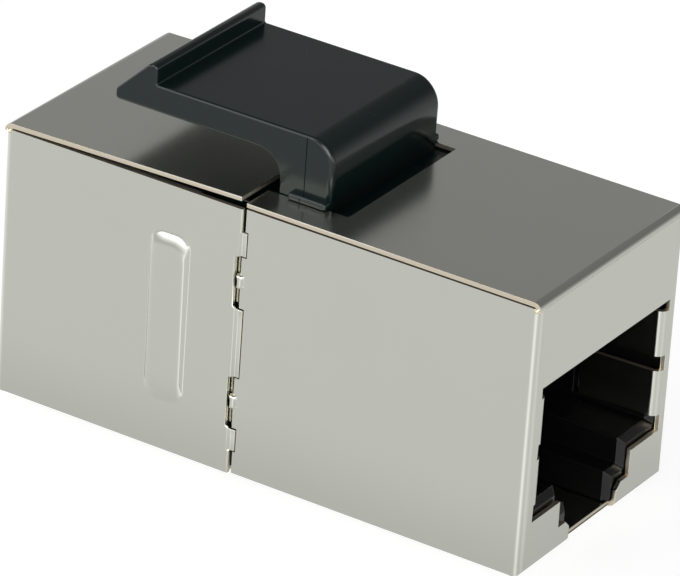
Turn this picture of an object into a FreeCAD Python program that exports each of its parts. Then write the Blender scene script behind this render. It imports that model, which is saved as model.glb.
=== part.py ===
"""Shielded RJ45 inline coupler with a keystone latch.

Two folded sheet shells meet at a finger-jointed seam and hold two jack housings
back to back on one circuit board. A moulded latch rises through a slot in the
rear shell's top. The coupler's length lies along X, with the panel end at -X,
its width along Y, and the underside of its keystone lug at Z = 0.
"""

import FreeCAD, Part
import math
import os

import Sketcher

SHEET_NAME = "sizes"

# Driving sizes in millimetres. Stations are distances along X from the panel end,
# heights are measured up from the shells' underside.
DRIVING_SIZES = (
    # Envelope and sheet
    ("coupler_length", 32.3),
    ("body_height", 15.5),
    ("rear_width", 14.2),
    ("shell_step", 0.15),
    ("sheet_gauge", 0.25),
    ("bend_radius", 0.45),
    ("edge_gap", 0.1),
    ("relief_radius", 0.17),
    ("flap_lift", 0.34),
    ("fit_gap", 0.08),
    # Seam between the shells, its offset counted from the middle towards the panel end
    ("seam_offset", 1.43),
    ("seam_gap", 0.13),
    ("flap_setback", 0.1),
    ("lip_base", 1.3),
    ("lip_top", 13.8),
    ("lip_reach", 0.25),
    ("lip_gap", 0.06),
    ("joggle_run", 0.16),
    ("notch_setback", 0.3),
    ("notch_height", 2.85),
    ("notch_bevel", 0.2),
    ("lower_notch_base", 2.7),
    ("upper_notch_base", 9.6),
    ("tab_reach", 0.12),
    ("tongue_reach", 1.1),
    ("bump_length", 0.48),
    ("bump_height", 0.96),
    ("bump_rise", 0.14),
    # Stop rib pressed out of each side of the front shell
    ("rib_station", 10.55),
    ("rib_width", 2.35),
    ("rib_base", 2.75),
    ("rib_height", 9.6),
    ("rib_rise", 0.3),
    # Keystone lug lanced out of the front shell's underside
    ("lug_station", 7.9),
    ("lug_run", 2.6),
    ("lug_width", 6.4),
    ("lug_drop", 1.2),
    # Plug opening in each end face, with its spring fingers
    ("port_width", 12.6),
    ("port_base", 2.9),
    ("port_top", 10.5),
    ("keyway_width", 7.0),
    ("keyway_base", 1.4),
    ("latchway_width", 4.7),
    ("latchway_bevel", 0.4),
    ("port_relief", 0.5),
    ("finger_length", 4.5),
    ("finger_height", 2.6),
    ("finger_lean", 0.2),
    ("upper_finger_base", 7.3),
    ("lower_finger_base", 3.85),
    # Jack housings
    ("housing_depth", 12.0),
    ("cavity_width", 11.9),
    ("cavity_end_wall", 0.7),
    ("cavity_base", 3.5),
    ("cavity_top", 10.2),
    ("key_slot_width", 6.4),
    ("key_slot_base", 2.05),
    ("latch_slot_width", 4.0),
    ("mouth_bevel", 0.35),
    ("finger_bay", 0.35),
    ("bay_margin", 0.2),
    # Contact carriers and contacts
    ("carrier_front", 2.2),
    ("carrier_width", 9.0),
    ("carrier_top", 13.3),
    ("comb_wall", 0.5),
    ("contact_pitch", 1.02),
    ("wire_width", 0.42),
    ("wire_gauge", 0.3),
    ("wire_play", 0.1),
    ("wire_run_height", 12.2),
    ("wire_turn_station", 3.3),
    ("wire_turn_radius", 0.42),
    ("wire_turn_drop", 1.0),
    ("wire_tip_station", 10.4),
    ("wire_tip_height", 8.7),
    ("wire_row_drop", 1.2),
    ("wire_jog_run", 0.9),
    ("wire_tail", 0.6),
    ("board_clearance", 0.9),
    # Circuit board
    ("board_gauge", 1.0),
    ("board_side_gap", 0.55),
    ("via_radius", 0.32),
    # Latch moulding, its root spanning the middle
    ("latch_width", 10.1),
    ("latch_tip_station", 5.22),
    ("latch_peak_station", 7.22),
    ("latch_shoulder_station", 7.72),
    ("latch_root_offset", 0.8),
    ("latch_front_setback", 1.53),
    ("latch_plate_top", 19.15),
    ("latch_plate_gauge", 1.5),
    ("latch_peak_height", 20.2),
    ("latch_tip_gauge", 0.58),
    ("latch_tip_radius", 0.24),
    ("latch_peak_radius", 0.14),
    ("latch_shoulder_radius", 0.15),
    ("latch_corner_radius", 1.45),
    ("latch_root_radius", 1.4),
    ("latch_rim_bevel", 0.1),
    ("ledge_reach", 0.4),
    ("ledge_gauge", 0.4),
    ("ledge_root_inset", 0.8),
    ("ledge_front_inset", 0.12),
    ("ledge_corner_radius", 0.3),
    ("saddle_side_gap", 0.65),
    ("saddle_end_gap", 0.2),
    ("slot_end_gap", 1.08),
    ("slot_side_gap", 0.07),
)

# Sizes that follow from the driving ones, as spreadsheet formulas.
DERIVED_SIZES = (
    ("front_width", "=rear_width + 2 * shell_step"),
    ("middle_station", "=coupler_length / 2"),
    ("front_length", "=middle_station - seam_offset"),
    ("rear_length", "=coupler_length - front_length - seam_gap"),
    ("inner_bend_radius", "=bend_radius - sheet_gauge"),
    ("side_plate_base", "=sheet_gauge + edge_gap"),
    ("side_plate_top", "=body_height - sheet_gauge - edge_gap"),
    ("housing_base", "=sheet_gauge + fit_gap"),
    ("housing_top", "=body_height - sheet_gauge - fit_gap"),
    ("carrier_back", "=middle_station - board_gauge / 2 - board_clearance"),
    ("tail_station", "=middle_station + board_gauge / 2 + wire_tail"),
    ("wire_jog_height", "=wire_run_height - wire_row_drop"),
    ("board_top", "=carrier_top - fit_gap"),
    ("board_width", "=rear_width - 2 * sheet_gauge - 2 * board_side_gap"),
    ("saddle_base", "=carrier_top + fit_gap"),
    ("saddle_width", "=rear_width - 2 * sheet_gauge - 2 * saddle_side_gap"),
    ("saddle_length", "=coupler_length - 2 * housing_depth - 2 * saddle_end_gap"),
    ("cavity_depth", "=housing_depth - cavity_end_wall"),
    ("latch_front_offset", "=saddle_length / 2 - latch_front_setback"),
    ("latch_underside", "=latch_plate_top - latch_plate_gauge"),
)

# Levels of the domed stop rib, from inside the sheet up to the crown: name, rise over the
# side plate, and the shares of its width and height that each side and end is set in.
RIB_LEVELS = (
    ("rib_seat", "- sheet_gauge/2", 0.0, 0.0),
    ("rib_foot", "0", 0.0, 0.0),
    ("rib_slope", "0.3*rib_rise", 0.05, 0.025),
    ("rib_shoulder", "0.8*rib_rise", 0.12, 0.07),
    ("rib_brow", "0.95*rib_rise", 0.2, 0.1),
    ("rib_crown", "rib_rise", 0.36, 0.17),
)
RIB_HOLLOW = (
    ("rib_mouth", "- sheet_gauge - edge_gap", 0.12, 0.05),
    ("rib_floor", "0.95*rib_rise - sheet_gauge", 0.22, 0.11),
)
RIB_ROUNDNESS = 0.7

CONTACTS_PER_JACK = 8
BUMP_TAPER_DEGREES = -20
HALF_TURN_DEGREES = 180
TOLERANCE = 1e-4
FAILED_STATES = ("Invalid", "Error")

doc = FreeCAD.newDocument("rj45_inline_coupler")
sheet = doc.addObject("Spreadsheet::Sheet", SHEET_NAME)


# --- Sizes --------------------------------------------------------------------

def fill_sheet():
    """Write every size into the spreadsheet and give each cell its alias."""
    for row, (alias, value) in enumerate(DRIVING_SIZES + DERIVED_SIZES, start=1):
        sheet.set(f"A{row}", alias)
        sheet.set(f"B{row}", str(value))
        sheet.setAlias(f"B{row}", alias)
    doc.recompute()


def split_terms(text):
    """Split a sum such as 'body_height - 2*edge_gap' into signs, factors and names."""
    sign = 1
    for word in text.split():
        if word in "+-":
            sign = 1 if word == "+" else -1
            continue
        name, factor = word, 1.0
        if "*" in word:
            digits, name = word.split("*")
            factor = float(digits)
        elif "/" in word:
            name, digits = word.split("/")
            factor = 1 / float(digits)
        yield sign, factor, name
        sign = 1


def amount(text):
    """Return the present value of a sum of sizes."""
    return sum(
        sign * factor * (getattr(sheet, name) if name[0].isalpha() else float(name))
        for sign, factor, name in split_terms(text)
    )


def bound(text):
    """Return the expression that binds a property to a sum of sizes."""
    terms = []
    for sign, factor, name in split_terms(text):
        prefix = f"{SHEET_NAME}." if name[0].isalpha() else ""
        terms.append(f"{'-' if sign < 0 else '+'} {factor:g} * {prefix}{name}")
    return " ".join(terms)


def minus(text):
    """Return a sum of sizes with every sign turned over."""
    words = text.split()
    if words[0] not in "+-":
        words.insert(0, "+")
    turned = {"+": "-", "-": "+"}
    return " ".join(turned.get(word, word) for word in words)


def flipped(corners):
    """Mirror a list of sketch corners across the sketch's vertical axis."""
    return [(minus(corner[0]),) + tuple(corner[1:]) for corner in corners]


def swapped(corners):
    """Mirror a list of sketch corners across the sketch's horizontal axis."""
    return [(corner[0], minus(corner[1])) + tuple(corner[2:]) for corner in corners]


def box_corners(left, right, low, high, radius=None):
    """Return the four corners of an upright rectangle, rounded if a radius is given."""
    corners = [(left, low), (right, low), (right, high), (left, high)]
    if radius is None:
        return corners
    return [corner + (radius,) for corner in corners]


# --- Sketches -----------------------------------------------------------------

def new_body(label, x_shift="0", half_turned=False):
    """Start a sub-part, placed along X and lifted to stand on the keystone lug."""
    body = doc.addObject("PartDesign::Body", label)
    body.Label = label
    angle = HALF_TURN_DEGREES if half_turned else 0
    body.Placement.Rotation = FreeCAD.Rotation(FreeCAD.Vector(0, 0, 1), angle)
    body.setExpression("Placement.Base.x", bound(x_shift))
    body.setExpression("Placement.Base.z", bound("lug_drop"))
    return body


def origin_feature(body, role):
    """Return the body's own origin plane or axis with this role."""
    return next(item for item in body.Origin.OriginFeatures if item.Role == role)


def new_sketch(body, role, name, offset="0"):
    """Start a sketch on one of the body's origin planes, offset along its normal."""
    sketch = body.newObject("Sketcher::SketchObject", name)
    sketch.AttachmentSupport = [(origin_feature(body, role), "")]
    sketch.MapMode = "FlatFace"
    sketch.setExpression("AttachmentOffset.Base.z", bound(offset))
    return sketch


def bind_constraint(sketch, kind, places, size):
    """Add a dimension to a sketch and bind it to a sum of sizes."""
    index = sketch.addConstraint(Sketcher.Constraint(kind, *places, amount(size)))
    sketch.setExpression(f"Constraints[{index}]", bound(size))


def pin_point(sketch, geometry, point, corner):
    """Hold one point of a sketch at a corner's across and up sizes."""
    for kind, size in zip(("DistanceX", "DistanceY"), corner[:2]):
        bind_constraint(sketch, kind, (-1, 1, geometry, point), size)


def round_points(before, corner, after, radius):
    """Return where a rounding starts and ends on two sides, and its centre."""
    into = (before - corner).normalize()
    out = (after - corner).normalize()
    middle = (into + out).normalize()
    centre = corner + middle * (radius / math.sin(into.getAngle(out) / 2))
    start = corner + into * (centre - corner).dot(into)
    end = corner + out * (centre - corner).dot(out)
    return start, end, centre


def draw(sketch, corners, closed=True):
    """Draw straight sides between corners, each with its own rounding if it has one.

    Every corner is held by its own two sizes, and every rounding by its radius and
    by being tangent to the sides next to it.
    """
    spots = [FreeCAD.Vector(amount(corner[0]), amount(corner[1]), 0) for corner in corners]
    count = len(spots)
    entries, exits, centres = list(spots), list(spots), [None] * count
    for index, corner in enumerate(corners):
        if len(corner) > 2:
            before, after = spots[index - 1], spots[(index + 1) % count]
            points = round_points(before, spots[index], after, amount(corner[2]))
            entries[index], exits[index], centres[index] = points

    sides = count if closed else count - 1
    lines = [
        sketch.addGeometry(Part.LineSegment(exits[side], entries[(side + 1) % count]), False)
        for side in range(sides)
    ]
    for index, corner in enumerate(corners):
        arriving = lines[index - 1] if closed or index > 0 else None
        leaving = lines[index] if index < sides else None
        if len(corner) > 2:
            round_corner(sketch, corner, spots[index], (entries[index], exits[index], centres[index]),
                         arriving, leaving)
            continue
        if arriving is not None and leaving is not None:
            sketch.addConstraint(Sketcher.Constraint("Coincident", arriving, 2, leaving, 1))
        held = (leaving, 1) if leaving is not None else (arriving, 2)
        pin_point(sketch, *held, corner)


def round_corner(sketch, corner, spot, points, arriving, leaving):
    """Add the arc that rounds a corner, tangent to the sides on either side of it."""
    entry, exit_point, centre = points
    leftward = (spot - entry).cross(exit_point - spot).z > 0
    first, last = (entry, exit_point) if leftward else (exit_point, entry)
    circle = Part.Circle(centre, FreeCAD.Vector(0, 0, 1), (entry - centre).Length)
    arc_shape = Part.ArcOfCircle(circle, circle.parameter(first), circle.parameter(last))
    arc = sketch.addGeometry(arc_shape, False)
    arc_entry, arc_exit = (1, 2) if leftward else (2, 1)
    mark = sketch.addGeometry(Part.Point(spot), True)
    for constraint in (
        Sketcher.Constraint("Tangent", arriving, 2, arc, arc_entry),
        Sketcher.Constraint("Tangent", arc, arc_exit, leaving, 1),
        Sketcher.Constraint("PointOnObject", mark, 1, arriving),
        Sketcher.Constraint("PointOnObject", mark, 1, leaving),
    ):
        sketch.addConstraint(constraint)
    bind_constraint(sketch, "Radius", (arc,), corner[2])
    pin_point(sketch, mark, 1, corner)


def add_circle(sketch, across, up, radius):
    """Draw a circle whose centre and radius are held by sums of sizes."""
    centre = FreeCAD.Vector(amount(across), amount(up), 0)
    circle = sketch.addGeometry(Part.Circle(centre, FreeCAD.Vector(0, 0, 1), amount(radius)), False)
    bind_constraint(sketch, "Radius", (circle,), radius)
    pin_point(sketch, circle, 3, (across, up))


# --- Features -----------------------------------------------------------------

def volume_of(body):
    """Return the body's volume after a recompute, or zero before its first feature."""
    doc.recompute()
    return 0.0 if body.Shape.isNull() else body.Shape.Volume


def extrude(body, kind, sketch, length, reverse=False, symmetric=False, taper=0):
    """Pad or pocket a sketch and make sure that it changed the body the right way."""
    before = volume_of(body)
    feature = body.newObject(f"PartDesign::{kind}", f"{sketch.Name}_{kind.lower()}")
    feature.Profile = sketch
    feature.setExpression("Length", bound(length))
    feature.Reversed = reverse
    feature.SideType = "Symmetric" if symmetric else "One side"
    feature.TaperAngle = taper
    change = volume_of(body) - before
    if (change > 0) != (kind == "Pad") or change == 0:
        raise RuntimeError(f"{sketch.Name} of {body.Label} points the wrong way: {change}")
    return feature


def pad(body, sketch, length, **options):
    """Add material along a sketch's normal."""
    return extrude(body, "Pad", sketch, length, **options)


def pocket(body, sketch, length, **options):
    """Remove material along a sketch's normal."""
    return extrude(body, "Pocket", sketch, length, **options)


def mirror_sides(body, features):
    """Repeat features on the other side of the body's lengthwise middle plane."""
    mirrored = body.newObject("PartDesign::Mirrored", f"{features[0].Name}_both_sides")
    mirrored.Originals = features
    mirrored.MirrorPlane = (origin_feature(body, "XZ_Plane"), [""])
    body.Tip = mirrored
    doc.recompute()
    return mirrored


# --- Folded shells ------------------------------------------------------------

def fold_shell(label, length, width, lift, x_shift, half_turned):
    """Fold the five-sided shell: one strip over top, end and bottom, one over the sides.

    The shell's own X points out of its plug opening, with the end face at X = 0.
    """
    body = new_body(label, x_shift, half_turned)
    flap_edge = minus(f"{length} - flap_setback")

    strip = new_sketch(body, "XZ_Plane", f"{label}_flaps")
    draw(strip, [
        (flap_edge, "0"),
        ("0", "0", "bend_radius"),
        ("0", "body_height", "bend_radius"),
        (flap_edge, f"body_height + {lift}"),
        (flap_edge, f"body_height + {lift} - sheet_gauge"),
        ("- sheet_gauge", "body_height - sheet_gauge", "inner_bend_radius"),
        ("- sheet_gauge", "sheet_gauge", "inner_bend_radius"),
        (flap_edge, "sheet_gauge"),
    ])
    pad(body, strip, width, symmetric=True)

    columns = new_sketch(body, "YZ_Plane", f"{label}_corner_columns")
    column = box_corners(f"{width}/2 - bend_radius", f"{width}/2 + edge_gap",
                         "bend_radius", "body_height - bend_radius")
    draw(columns, column)
    draw(columns, flipped(column))
    pocket(body, columns, "bend_radius")

    sides = new_sketch(body, "XY_Plane", f"{label}_sides", "side_plate_base")
    outer, inner = f"{width}/2", f"{width}/2 - sheet_gauge"
    draw(sides, [
        (minus(length), minus(outer)),
        ("0", minus(outer), "bend_radius"),
        ("0", outer, "bend_radius"),
        (minus(length), outer),
        (minus(length), inner),
        ("- sheet_gauge", inner, "inner_bend_radius"),
        ("- sheet_gauge", minus(inner), "inner_bend_radius"),
        (minus(length), minus(inner)),
    ])
    pad(body, sides, "side_plate_top - side_plate_base")
    return body


def pierce_reliefs(body, width):
    """Pierce the small round reliefs where each side's bend meets the flaps."""
    reliefs = new_sketch(body, "XZ_Plane", f"{body.Label}_reliefs", f"{width}/2 + edge_gap")
    for height in ("side_plate_base + relief_radius/2", "side_plate_top - relief_radius/2"):
        add_circle(reliefs, "- relief_radius - relief_radius/2", height, "relief_radius")
    holes = pocket(body, reliefs, "sheet_gauge + edge_gap")
    mirror_sides(body, [holes])


def cut_port(body):
    """Cut the plug opening, its keyway and the latchway that runs out of the bottom."""
    port = new_sketch(body, "YZ_Plane", f"{body.Label}_port")
    right_side = [
        ("latchway_width/2", "- edge_gap"),
        ("latchway_width/2", "keyway_base - latchway_bevel"),
        ("latchway_width/2 + latchway_bevel", "keyway_base"),
        ("keyway_width/2", "keyway_base"),
        ("keyway_width/2", "port_base"),
        ("port_width/2", "port_base"),
        ("port_width/2", "port_top"),
    ]
    draw(port, right_side + flipped(right_side)[::-1])
    pocket(body, port, "port_relief")


def fold_fingers(body):
    """Fold the spring fingers that line both sides of the plug opening."""
    face = "port_width/2 - sheet_gauge - inner_bend_radius - fit_gap"
    profile = [
        ("0", "port_width/2 + sheet_gauge"),
        ("0", face, "bend_radius"),
        ("- finger_length", f"{face} - finger_lean"),
        ("- finger_length", f"{face} - finger_lean + sheet_gauge"),
        ("- sheet_gauge", f"{face} + sheet_gauge", "inner_bend_radius"),
        ("- sheet_gauge", "port_width/2 + sheet_gauge"),
    ]
    for level in ("lower", "upper"):
        fingers = new_sketch(body, "XY_Plane", f"{body.Label}_{level}_fingers", f"{level}_finger_base")
        draw(fingers, profile)
        draw(fingers, swapped(profile))
        pad(body, fingers, "finger_height")


def build_front_shell():
    """Build the panel-end shell with its lips, notches, stop ribs and keystone lug."""
    body = fold_shell("front_shell", "front_length", "front_width", "flap_lift",
                      "- middle_station", half_turned=True)
    pierce_reliefs(body, "front_width")
    cut_port(body)
    fold_fingers(body)

    fold_lips(body)
    cut_notches(body)
    press_ribs(body)
    lance_lug(body)


def fold_lips(body):
    """Joggle the side plates' free edges inwards to lie flush with the rear shell."""
    beyond = minus("front_length + lip_reach + seam_gap")
    bend = minus("front_length - joggle_run")
    clearing = new_sketch(body, "XZ_Plane", "lip_clearing")
    draw(clearing, box_corners(beyond, bend, "lip_base", "lip_top"))
    pocket(body, clearing, "front_width + 2*edge_gap", symmetric=True)

    flat = minus("front_length")
    root = f"{bend} + joggle_run"
    edge = minus("front_length + lip_reach")
    profile = [
        (root, "front_width/2"),
        (bend, "front_width/2"),
        (flat, "rear_width/2"),
        (edge, "rear_width/2"),
        (edge, "rear_width/2 - sheet_gauge"),
        (flat, "rear_width/2 - sheet_gauge"),
        (bend, "front_width/2 - sheet_gauge"),
        (root, "front_width/2 - sheet_gauge"),
    ]
    lips = new_sketch(body, "XY_Plane", "seam_lips", "lip_base")
    draw(lips, profile)
    draw(lips, swapped(profile))
    pad(body, lips, "lip_top - lip_base")


def cut_notches(body):
    """Notch both side plates where the rear shell's tabs reach across the seam."""
    notches = new_sketch(body, "XZ_Plane", "seam_notches")
    back = minus("front_length - notch_setback")
    beyond = minus("front_length + lip_reach + seam_gap")
    for base in ("lower_notch_base", "upper_notch_base"):
        draw(notches, [
            (back, base),
            (minus("front_length"), f"{base} - notch_bevel"),
            (beyond, f"{base} - notch_bevel"),
            (beyond, f"{base} + notch_height"),
            (back, f"{base} + notch_height"),
        ])
    pocket(body, notches, "front_width + 2*edge_gap", symmetric=True)


def rib_outline(body, name, rise, side_share, end_share):
    """Draw one level of the stop rib as a rounded upright outline."""
    outline = new_sketch(body, "XZ_Plane", name, f"front_width/2 + {rise}")
    half = 0.5 - side_share
    draw(outline, box_corners(
        minus(f"rib_station + {half}*rib_width"), minus(f"rib_station - {half}*rib_width"),
        f"rib_base + {end_share}*rib_height", f"rib_base + rib_height - {end_share}*rib_height",
        f"{half * RIB_ROUNDNESS:g}*rib_width"))
    return outline


def press_ribs(body):
    """Press the domed stop rib outwards, hollow behind, and repeat it on the other side."""
    foot, *levels = (rib_outline(body, *level) for level in RIB_LEVELS)
    swell = body.newObject("PartDesign::AdditiveLoft", "rib_swell")
    swell.Profile = foot
    swell.Sections = levels
    swell.Ruled = True
    doc.recompute()

    mouth, floor = (rib_outline(body, *level) for level in RIB_HOLLOW)
    hollow = body.newObject("PartDesign::SubtractiveLoft", "rib_hollow")
    hollow.Profile = mouth
    hollow.Sections = [floor]
    doc.recompute()
    mirror_sides(body, [swell, hollow])


def lance_lug(body):
    """Lance the keystone lug out of the bottom flap and open the window it leaves."""
    window = new_sketch(body, "XY_Plane", "lug_window", "- edge_gap")
    draw(window, [
        (minus("lug_station + sheet_gauge"), "- lug_width/2 - edge_gap"),
        (minus("lug_station - lug_run"), "- lug_width/2 - edge_gap"),
        (minus("lug_station - lug_run"), "lug_width/2 + edge_gap"),
        (minus("lug_station + sheet_gauge"), "lug_width/2 + edge_gap"),
    ])
    pocket(body, window, "sheet_gauge + 2*edge_gap", reverse=True)

    ramp = new_sketch(body, "XZ_Plane", "lug_ramp")
    draw(ramp, [
        (minus("lug_station - lug_run - sheet_gauge"), "0"),
        (minus("lug_station - lug_run"), "0"),
        (minus("lug_station - sheet_gauge"), "- lug_drop"),
        (minus("lug_station"), "- lug_drop"),
        (minus("lug_station"), "sheet_gauge - lug_drop"),
        (minus("lug_station - lug_run"), "sheet_gauge"),
        (minus("lug_station - lug_run - sheet_gauge"), "sheet_gauge"),
    ])
    pad(body, ramp, "lug_width", symmetric=True)


def build_rear_shell():
    """Build the shell at the far end, with its seam tabs, tongues and latch slot."""
    body = fold_shell("rear_shell", "rear_length + tab_reach", "rear_width", "0",
                      "middle_station", half_turned=False)
    pierce_reliefs(body, "rear_width")
    cut_port(body)
    fold_fingers(body)
    cut_tabs(body)
    fold_tongues(body)

    slot = new_sketch(body, "XY_Plane", "latch_slot", "body_height + edge_gap")
    half_slot = "latch_width/2 + slot_side_gap"
    slot_end = "middle_station - latch_front_offset - slot_end_gap"
    slot_open = minus("rear_length + tab_reach + flap_setback")
    draw(slot, [
        (slot_open, minus(half_slot)), (minus(slot_end), minus(half_slot)),
        (minus(slot_end), half_slot), (slot_open, half_slot),
    ])
    pocket(body, slot, "sheet_gauge + 2*edge_gap")


def cut_tabs(body):
    """Cut the side plates' free edge into tabs that lie in the front shell's notches."""
    cuts = new_sketch(body, "XZ_Plane", "seam_tabs")
    beyond = minus("rear_length + tab_reach + flap_setback")
    plain = minus("rear_length")
    lip_room = minus("coupler_length - front_length - lip_reach - lip_gap")
    lower_top = "lower_notch_base + notch_height + edge_gap/2"
    upper_top = "upper_notch_base + notch_height + edge_gap/2"
    draw(cuts, [
        (beyond, "side_plate_base - edge_gap/2"),
        (plain, "side_plate_base - edge_gap/2"),
        (plain, "lip_base - edge_gap/2"),
        (lip_room, "lip_base - edge_gap/2"),
        (lip_room, "lower_notch_base - notch_bevel/2"),
        (beyond, "lower_notch_base - notch_bevel/2"),
    ])
    draw(cuts, box_corners(beyond, lip_room, f"{lower_top} - edge_gap", "upper_notch_base - notch_bevel/2"))
    draw(cuts, [
        (beyond, f"{upper_top} - edge_gap"),
        (lip_room, f"{upper_top} - edge_gap"),
        (lip_room, "lip_top + edge_gap/2"),
        (plain, "lip_top + edge_gap/2"),
        (plain, "side_plate_top + edge_gap/2"),
        (beyond, "side_plate_top + edge_gap/2"),
    ])
    pocket(body, cuts, "rear_width + 2*edge_gap", symmetric=True)


def fold_tongues(body):
    """Joggle a tongue from each tab to lie inside the front shell, with its snap bump."""
    root = minus("rear_length")
    crease = minus("rear_length + tab_reach")
    inside = "front_width/2 - sheet_gauge - fit_gap"
    profile = [
        (root, "rear_width/2"),
        (crease, "rear_width/2"),
        (f"{crease} - joggle_run", inside),
        (f"{crease} - tongue_reach", inside),
        (f"{crease} - tongue_reach", f"{inside} - sheet_gauge"),
        (f"{crease} - joggle_run", f"{inside} - sheet_gauge"),
        (crease, "rear_width/2 - sheet_gauge"),
        (root, "rear_width/2 - sheet_gauge"),
    ]
    bump_middle = f"{crease} - joggle_run/2"
    for level in ("lower", "upper"):
        base = f"{level}_notch_base + edge_gap"
        tongues = new_sketch(body, "XY_Plane", f"{level}_tongues", base)
        draw(tongues, profile)
        draw(tongues, swapped(profile))
        pad(body, tongues, "notch_height - 2*edge_gap - edge_gap/2")

    bumps = new_sketch(body, "XZ_Plane", "snap_bumps", "rear_width/2 - sheet_gauge")
    for level in ("lower", "upper"):
        middle = f"{level}_notch_base + notch_height/2"
        draw(bumps, box_corners(
            f"{bump_middle} - bump_length/2", f"{bump_middle} + bump_length/2",
            f"{middle} - bump_height/2", f"{middle} + bump_height/2", "bump_length/2 - edge_gap"))
    raised = pad(body, bumps, "sheet_gauge + bump_rise", taper=BUMP_TAPER_DEGREES)
    mirror_sides(body, [raised])


# --- Jack housings, carriers, board and contacts --------------------------------

def build_jack_housing(label, width, x_shift, half_turned):
    """Mould the jack housing: plug cavity, stepped keyway, finger bays and carrier bay."""
    body = new_body(label, x_shift, half_turned)
    half_width = f"{width}/2 - sheet_gauge - fit_gap"
    front = "- housing_base"

    block = new_sketch(body, "YZ_Plane", f"{label}_block", front)
    draw(block, box_corners(minus(half_width), half_width, "housing_base", "housing_top"))
    pad(body, block, "housing_depth - housing_base", reverse=True)

    cavity = plug_outline(body, f"{label}_cavity", front)
    pocket(body, cavity, "cavity_depth - housing_base")
    mouth = plug_outline(body, f"{label}_mouth", front, "mouth_bevel")
    throat = plug_outline(body, f"{label}_throat", f"{front} - mouth_bevel")
    bevel = body.newObject("PartDesign::SubtractiveLoft", f"{label}_mouth_bevel")
    bevel.Profile = mouth
    bevel.Sections = [throat]
    bevel.Ruled = True
    doc.recompute()

    carrier_bay = new_sketch(body, "YZ_Plane", f"{label}_carrier_bay", minus("carrier_front - fit_gap"))
    draw(carrier_bay, box_corners(minus("carrier_width/2 + fit_gap"), "carrier_width/2 + fit_gap",
                                  "cavity_top - fit_gap", "carrier_top + fit_gap"))
    pocket(body, carrier_bay, "housing_depth")

    bays = new_sketch(body, "YZ_Plane", f"{label}_finger_bays", front)
    draw(bays, box_corners(
        minus("port_width/2 + finger_bay/2"), "port_width/2 + finger_bay/2",
        "lower_finger_base - bay_margin", "upper_finger_base + finger_height + bay_margin"))
    pocket(body, bays, "finger_length + bay_margin")


def plug_outline(body, name, offset, margin="0"):
    """Draw the plug cavity's outline, its ledges and lower walls set back by a margin."""
    outline = new_sketch(body, "YZ_Plane", name, offset)
    right_side = [
        (f"latch_slot_width/2 + {margin}", "0"),
        (f"latch_slot_width/2 + {margin}", f"key_slot_base - {margin}"),
        (f"key_slot_width/2 + {margin}", f"key_slot_base - {margin}"),
        (f"key_slot_width/2 + {margin}", f"cavity_base - {margin}"),
        (f"cavity_width/2 + {margin}", f"cavity_base - {margin}"),
        (f"cavity_width/2 + {margin}", "cavity_top"),
    ]
    draw(outline, right_side + flipped(right_side)[::-1])
    return outline


def build_contact_carrier(label, x_shift, half_turned):
    """Mould the comb that guides the contacts over the plug cavity to the board."""
    body = new_body(label, x_shift, half_turned)
    block = new_sketch(body, "YZ_Plane", f"{label}_block", "- carrier_front")
    draw(block, box_corners("- carrier_width/2", "carrier_width/2", "cavity_top", "carrier_top"))
    pad(body, block, "carrier_back - carrier_front", reverse=True)

    slots = new_sketch(body, "YZ_Plane", f"{label}_slots", minus("carrier_front + comb_wall"))
    for number in range(1, CONTACTS_PER_JACK + 1):
        centre = contact_place(number)
        draw(slots, box_corners(
            f"{centre} - wire_width/2 - wire_play/2", f"{centre} + wire_width/2 + wire_play/2",
            "cavity_top - fit_gap", "wire_run_height + wire_gauge/2 + fit_gap"))
    pocket(body, slots, "carrier_back")


def contact_place(number):
    """Return the sideways place of one contact, counted from 1 along the jack's own Y."""
    steps = number - (CONTACTS_PER_JACK + 1) / 2
    return f"{'-' if steps < 0 else '+'} {abs(steps)}*contact_pitch"


def build_contact(label, number, x_shift, half_turned):
    """Bend one contact: board tail, run over the cavity, turn, and sloping spring end.

    Neighbours reach the board at two heights, so that its holes are staggered.
    """
    body = new_body(label, x_shift, half_turned)
    place = contact_place(number)
    tail_height = "wire_run_height" if number % 2 else "wire_jog_height"

    path = new_sketch(body, "XZ_Plane", f"{label}_path", minus(place))
    tail = [(minus("tail_station"), tail_height)]
    jog_start = "middle_station - board_gauge/2 - wire_gauge"
    jog = [
        (minus(jog_start), "wire_jog_height", "wire_gauge"),
        (minus(f"{jog_start} - wire_jog_run"), "wire_run_height", "wire_gauge"),
    ]
    spring = [
        (minus("wire_turn_station"), "wire_run_height", "wire_turn_radius"),
        (minus("wire_turn_station"), "wire_run_height - wire_turn_drop", "wire_turn_radius"),
        (minus("wire_tip_station"), "wire_tip_height"),
    ]
    draw(path, tail + ([] if number % 2 else jog) + spring, closed=False)

    section = new_sketch(body, "YZ_Plane", f"{label}_section", minus("tail_station"))
    draw(section, box_corners(
        f"{place} - wire_width/2", f"{place} + wire_width/2",
        f"{tail_height} - wire_gauge/2", f"{tail_height} + wire_gauge/2"))
    wire = body.newObject("PartDesign::AdditivePipe", f"{label}_wire")
    wire.Profile = section
    wire.Spine = (path, [])
    doc.recompute()


def build_circuit_board():
    """Cut the circuit board that stands across the middle, with its staggered vias."""
    body = new_body("circuit_board")
    blank = new_sketch(body, "YZ_Plane", "board_blank")
    draw(blank, box_corners("- board_width/2", "board_width/2", "housing_base", "board_top"))
    pad(body, blank, "board_gauge", symmetric=True)
    vias = new_sketch(body, "YZ_Plane", "board_vias", "board_gauge")
    for number in range(1, CONTACTS_PER_JACK + 1):
        for height in ("wire_run_height", "wire_jog_height"):
            add_circle(vias, contact_place(number), height, "via_radius")
    pocket(body, vias, "2*board_gauge")


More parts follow.
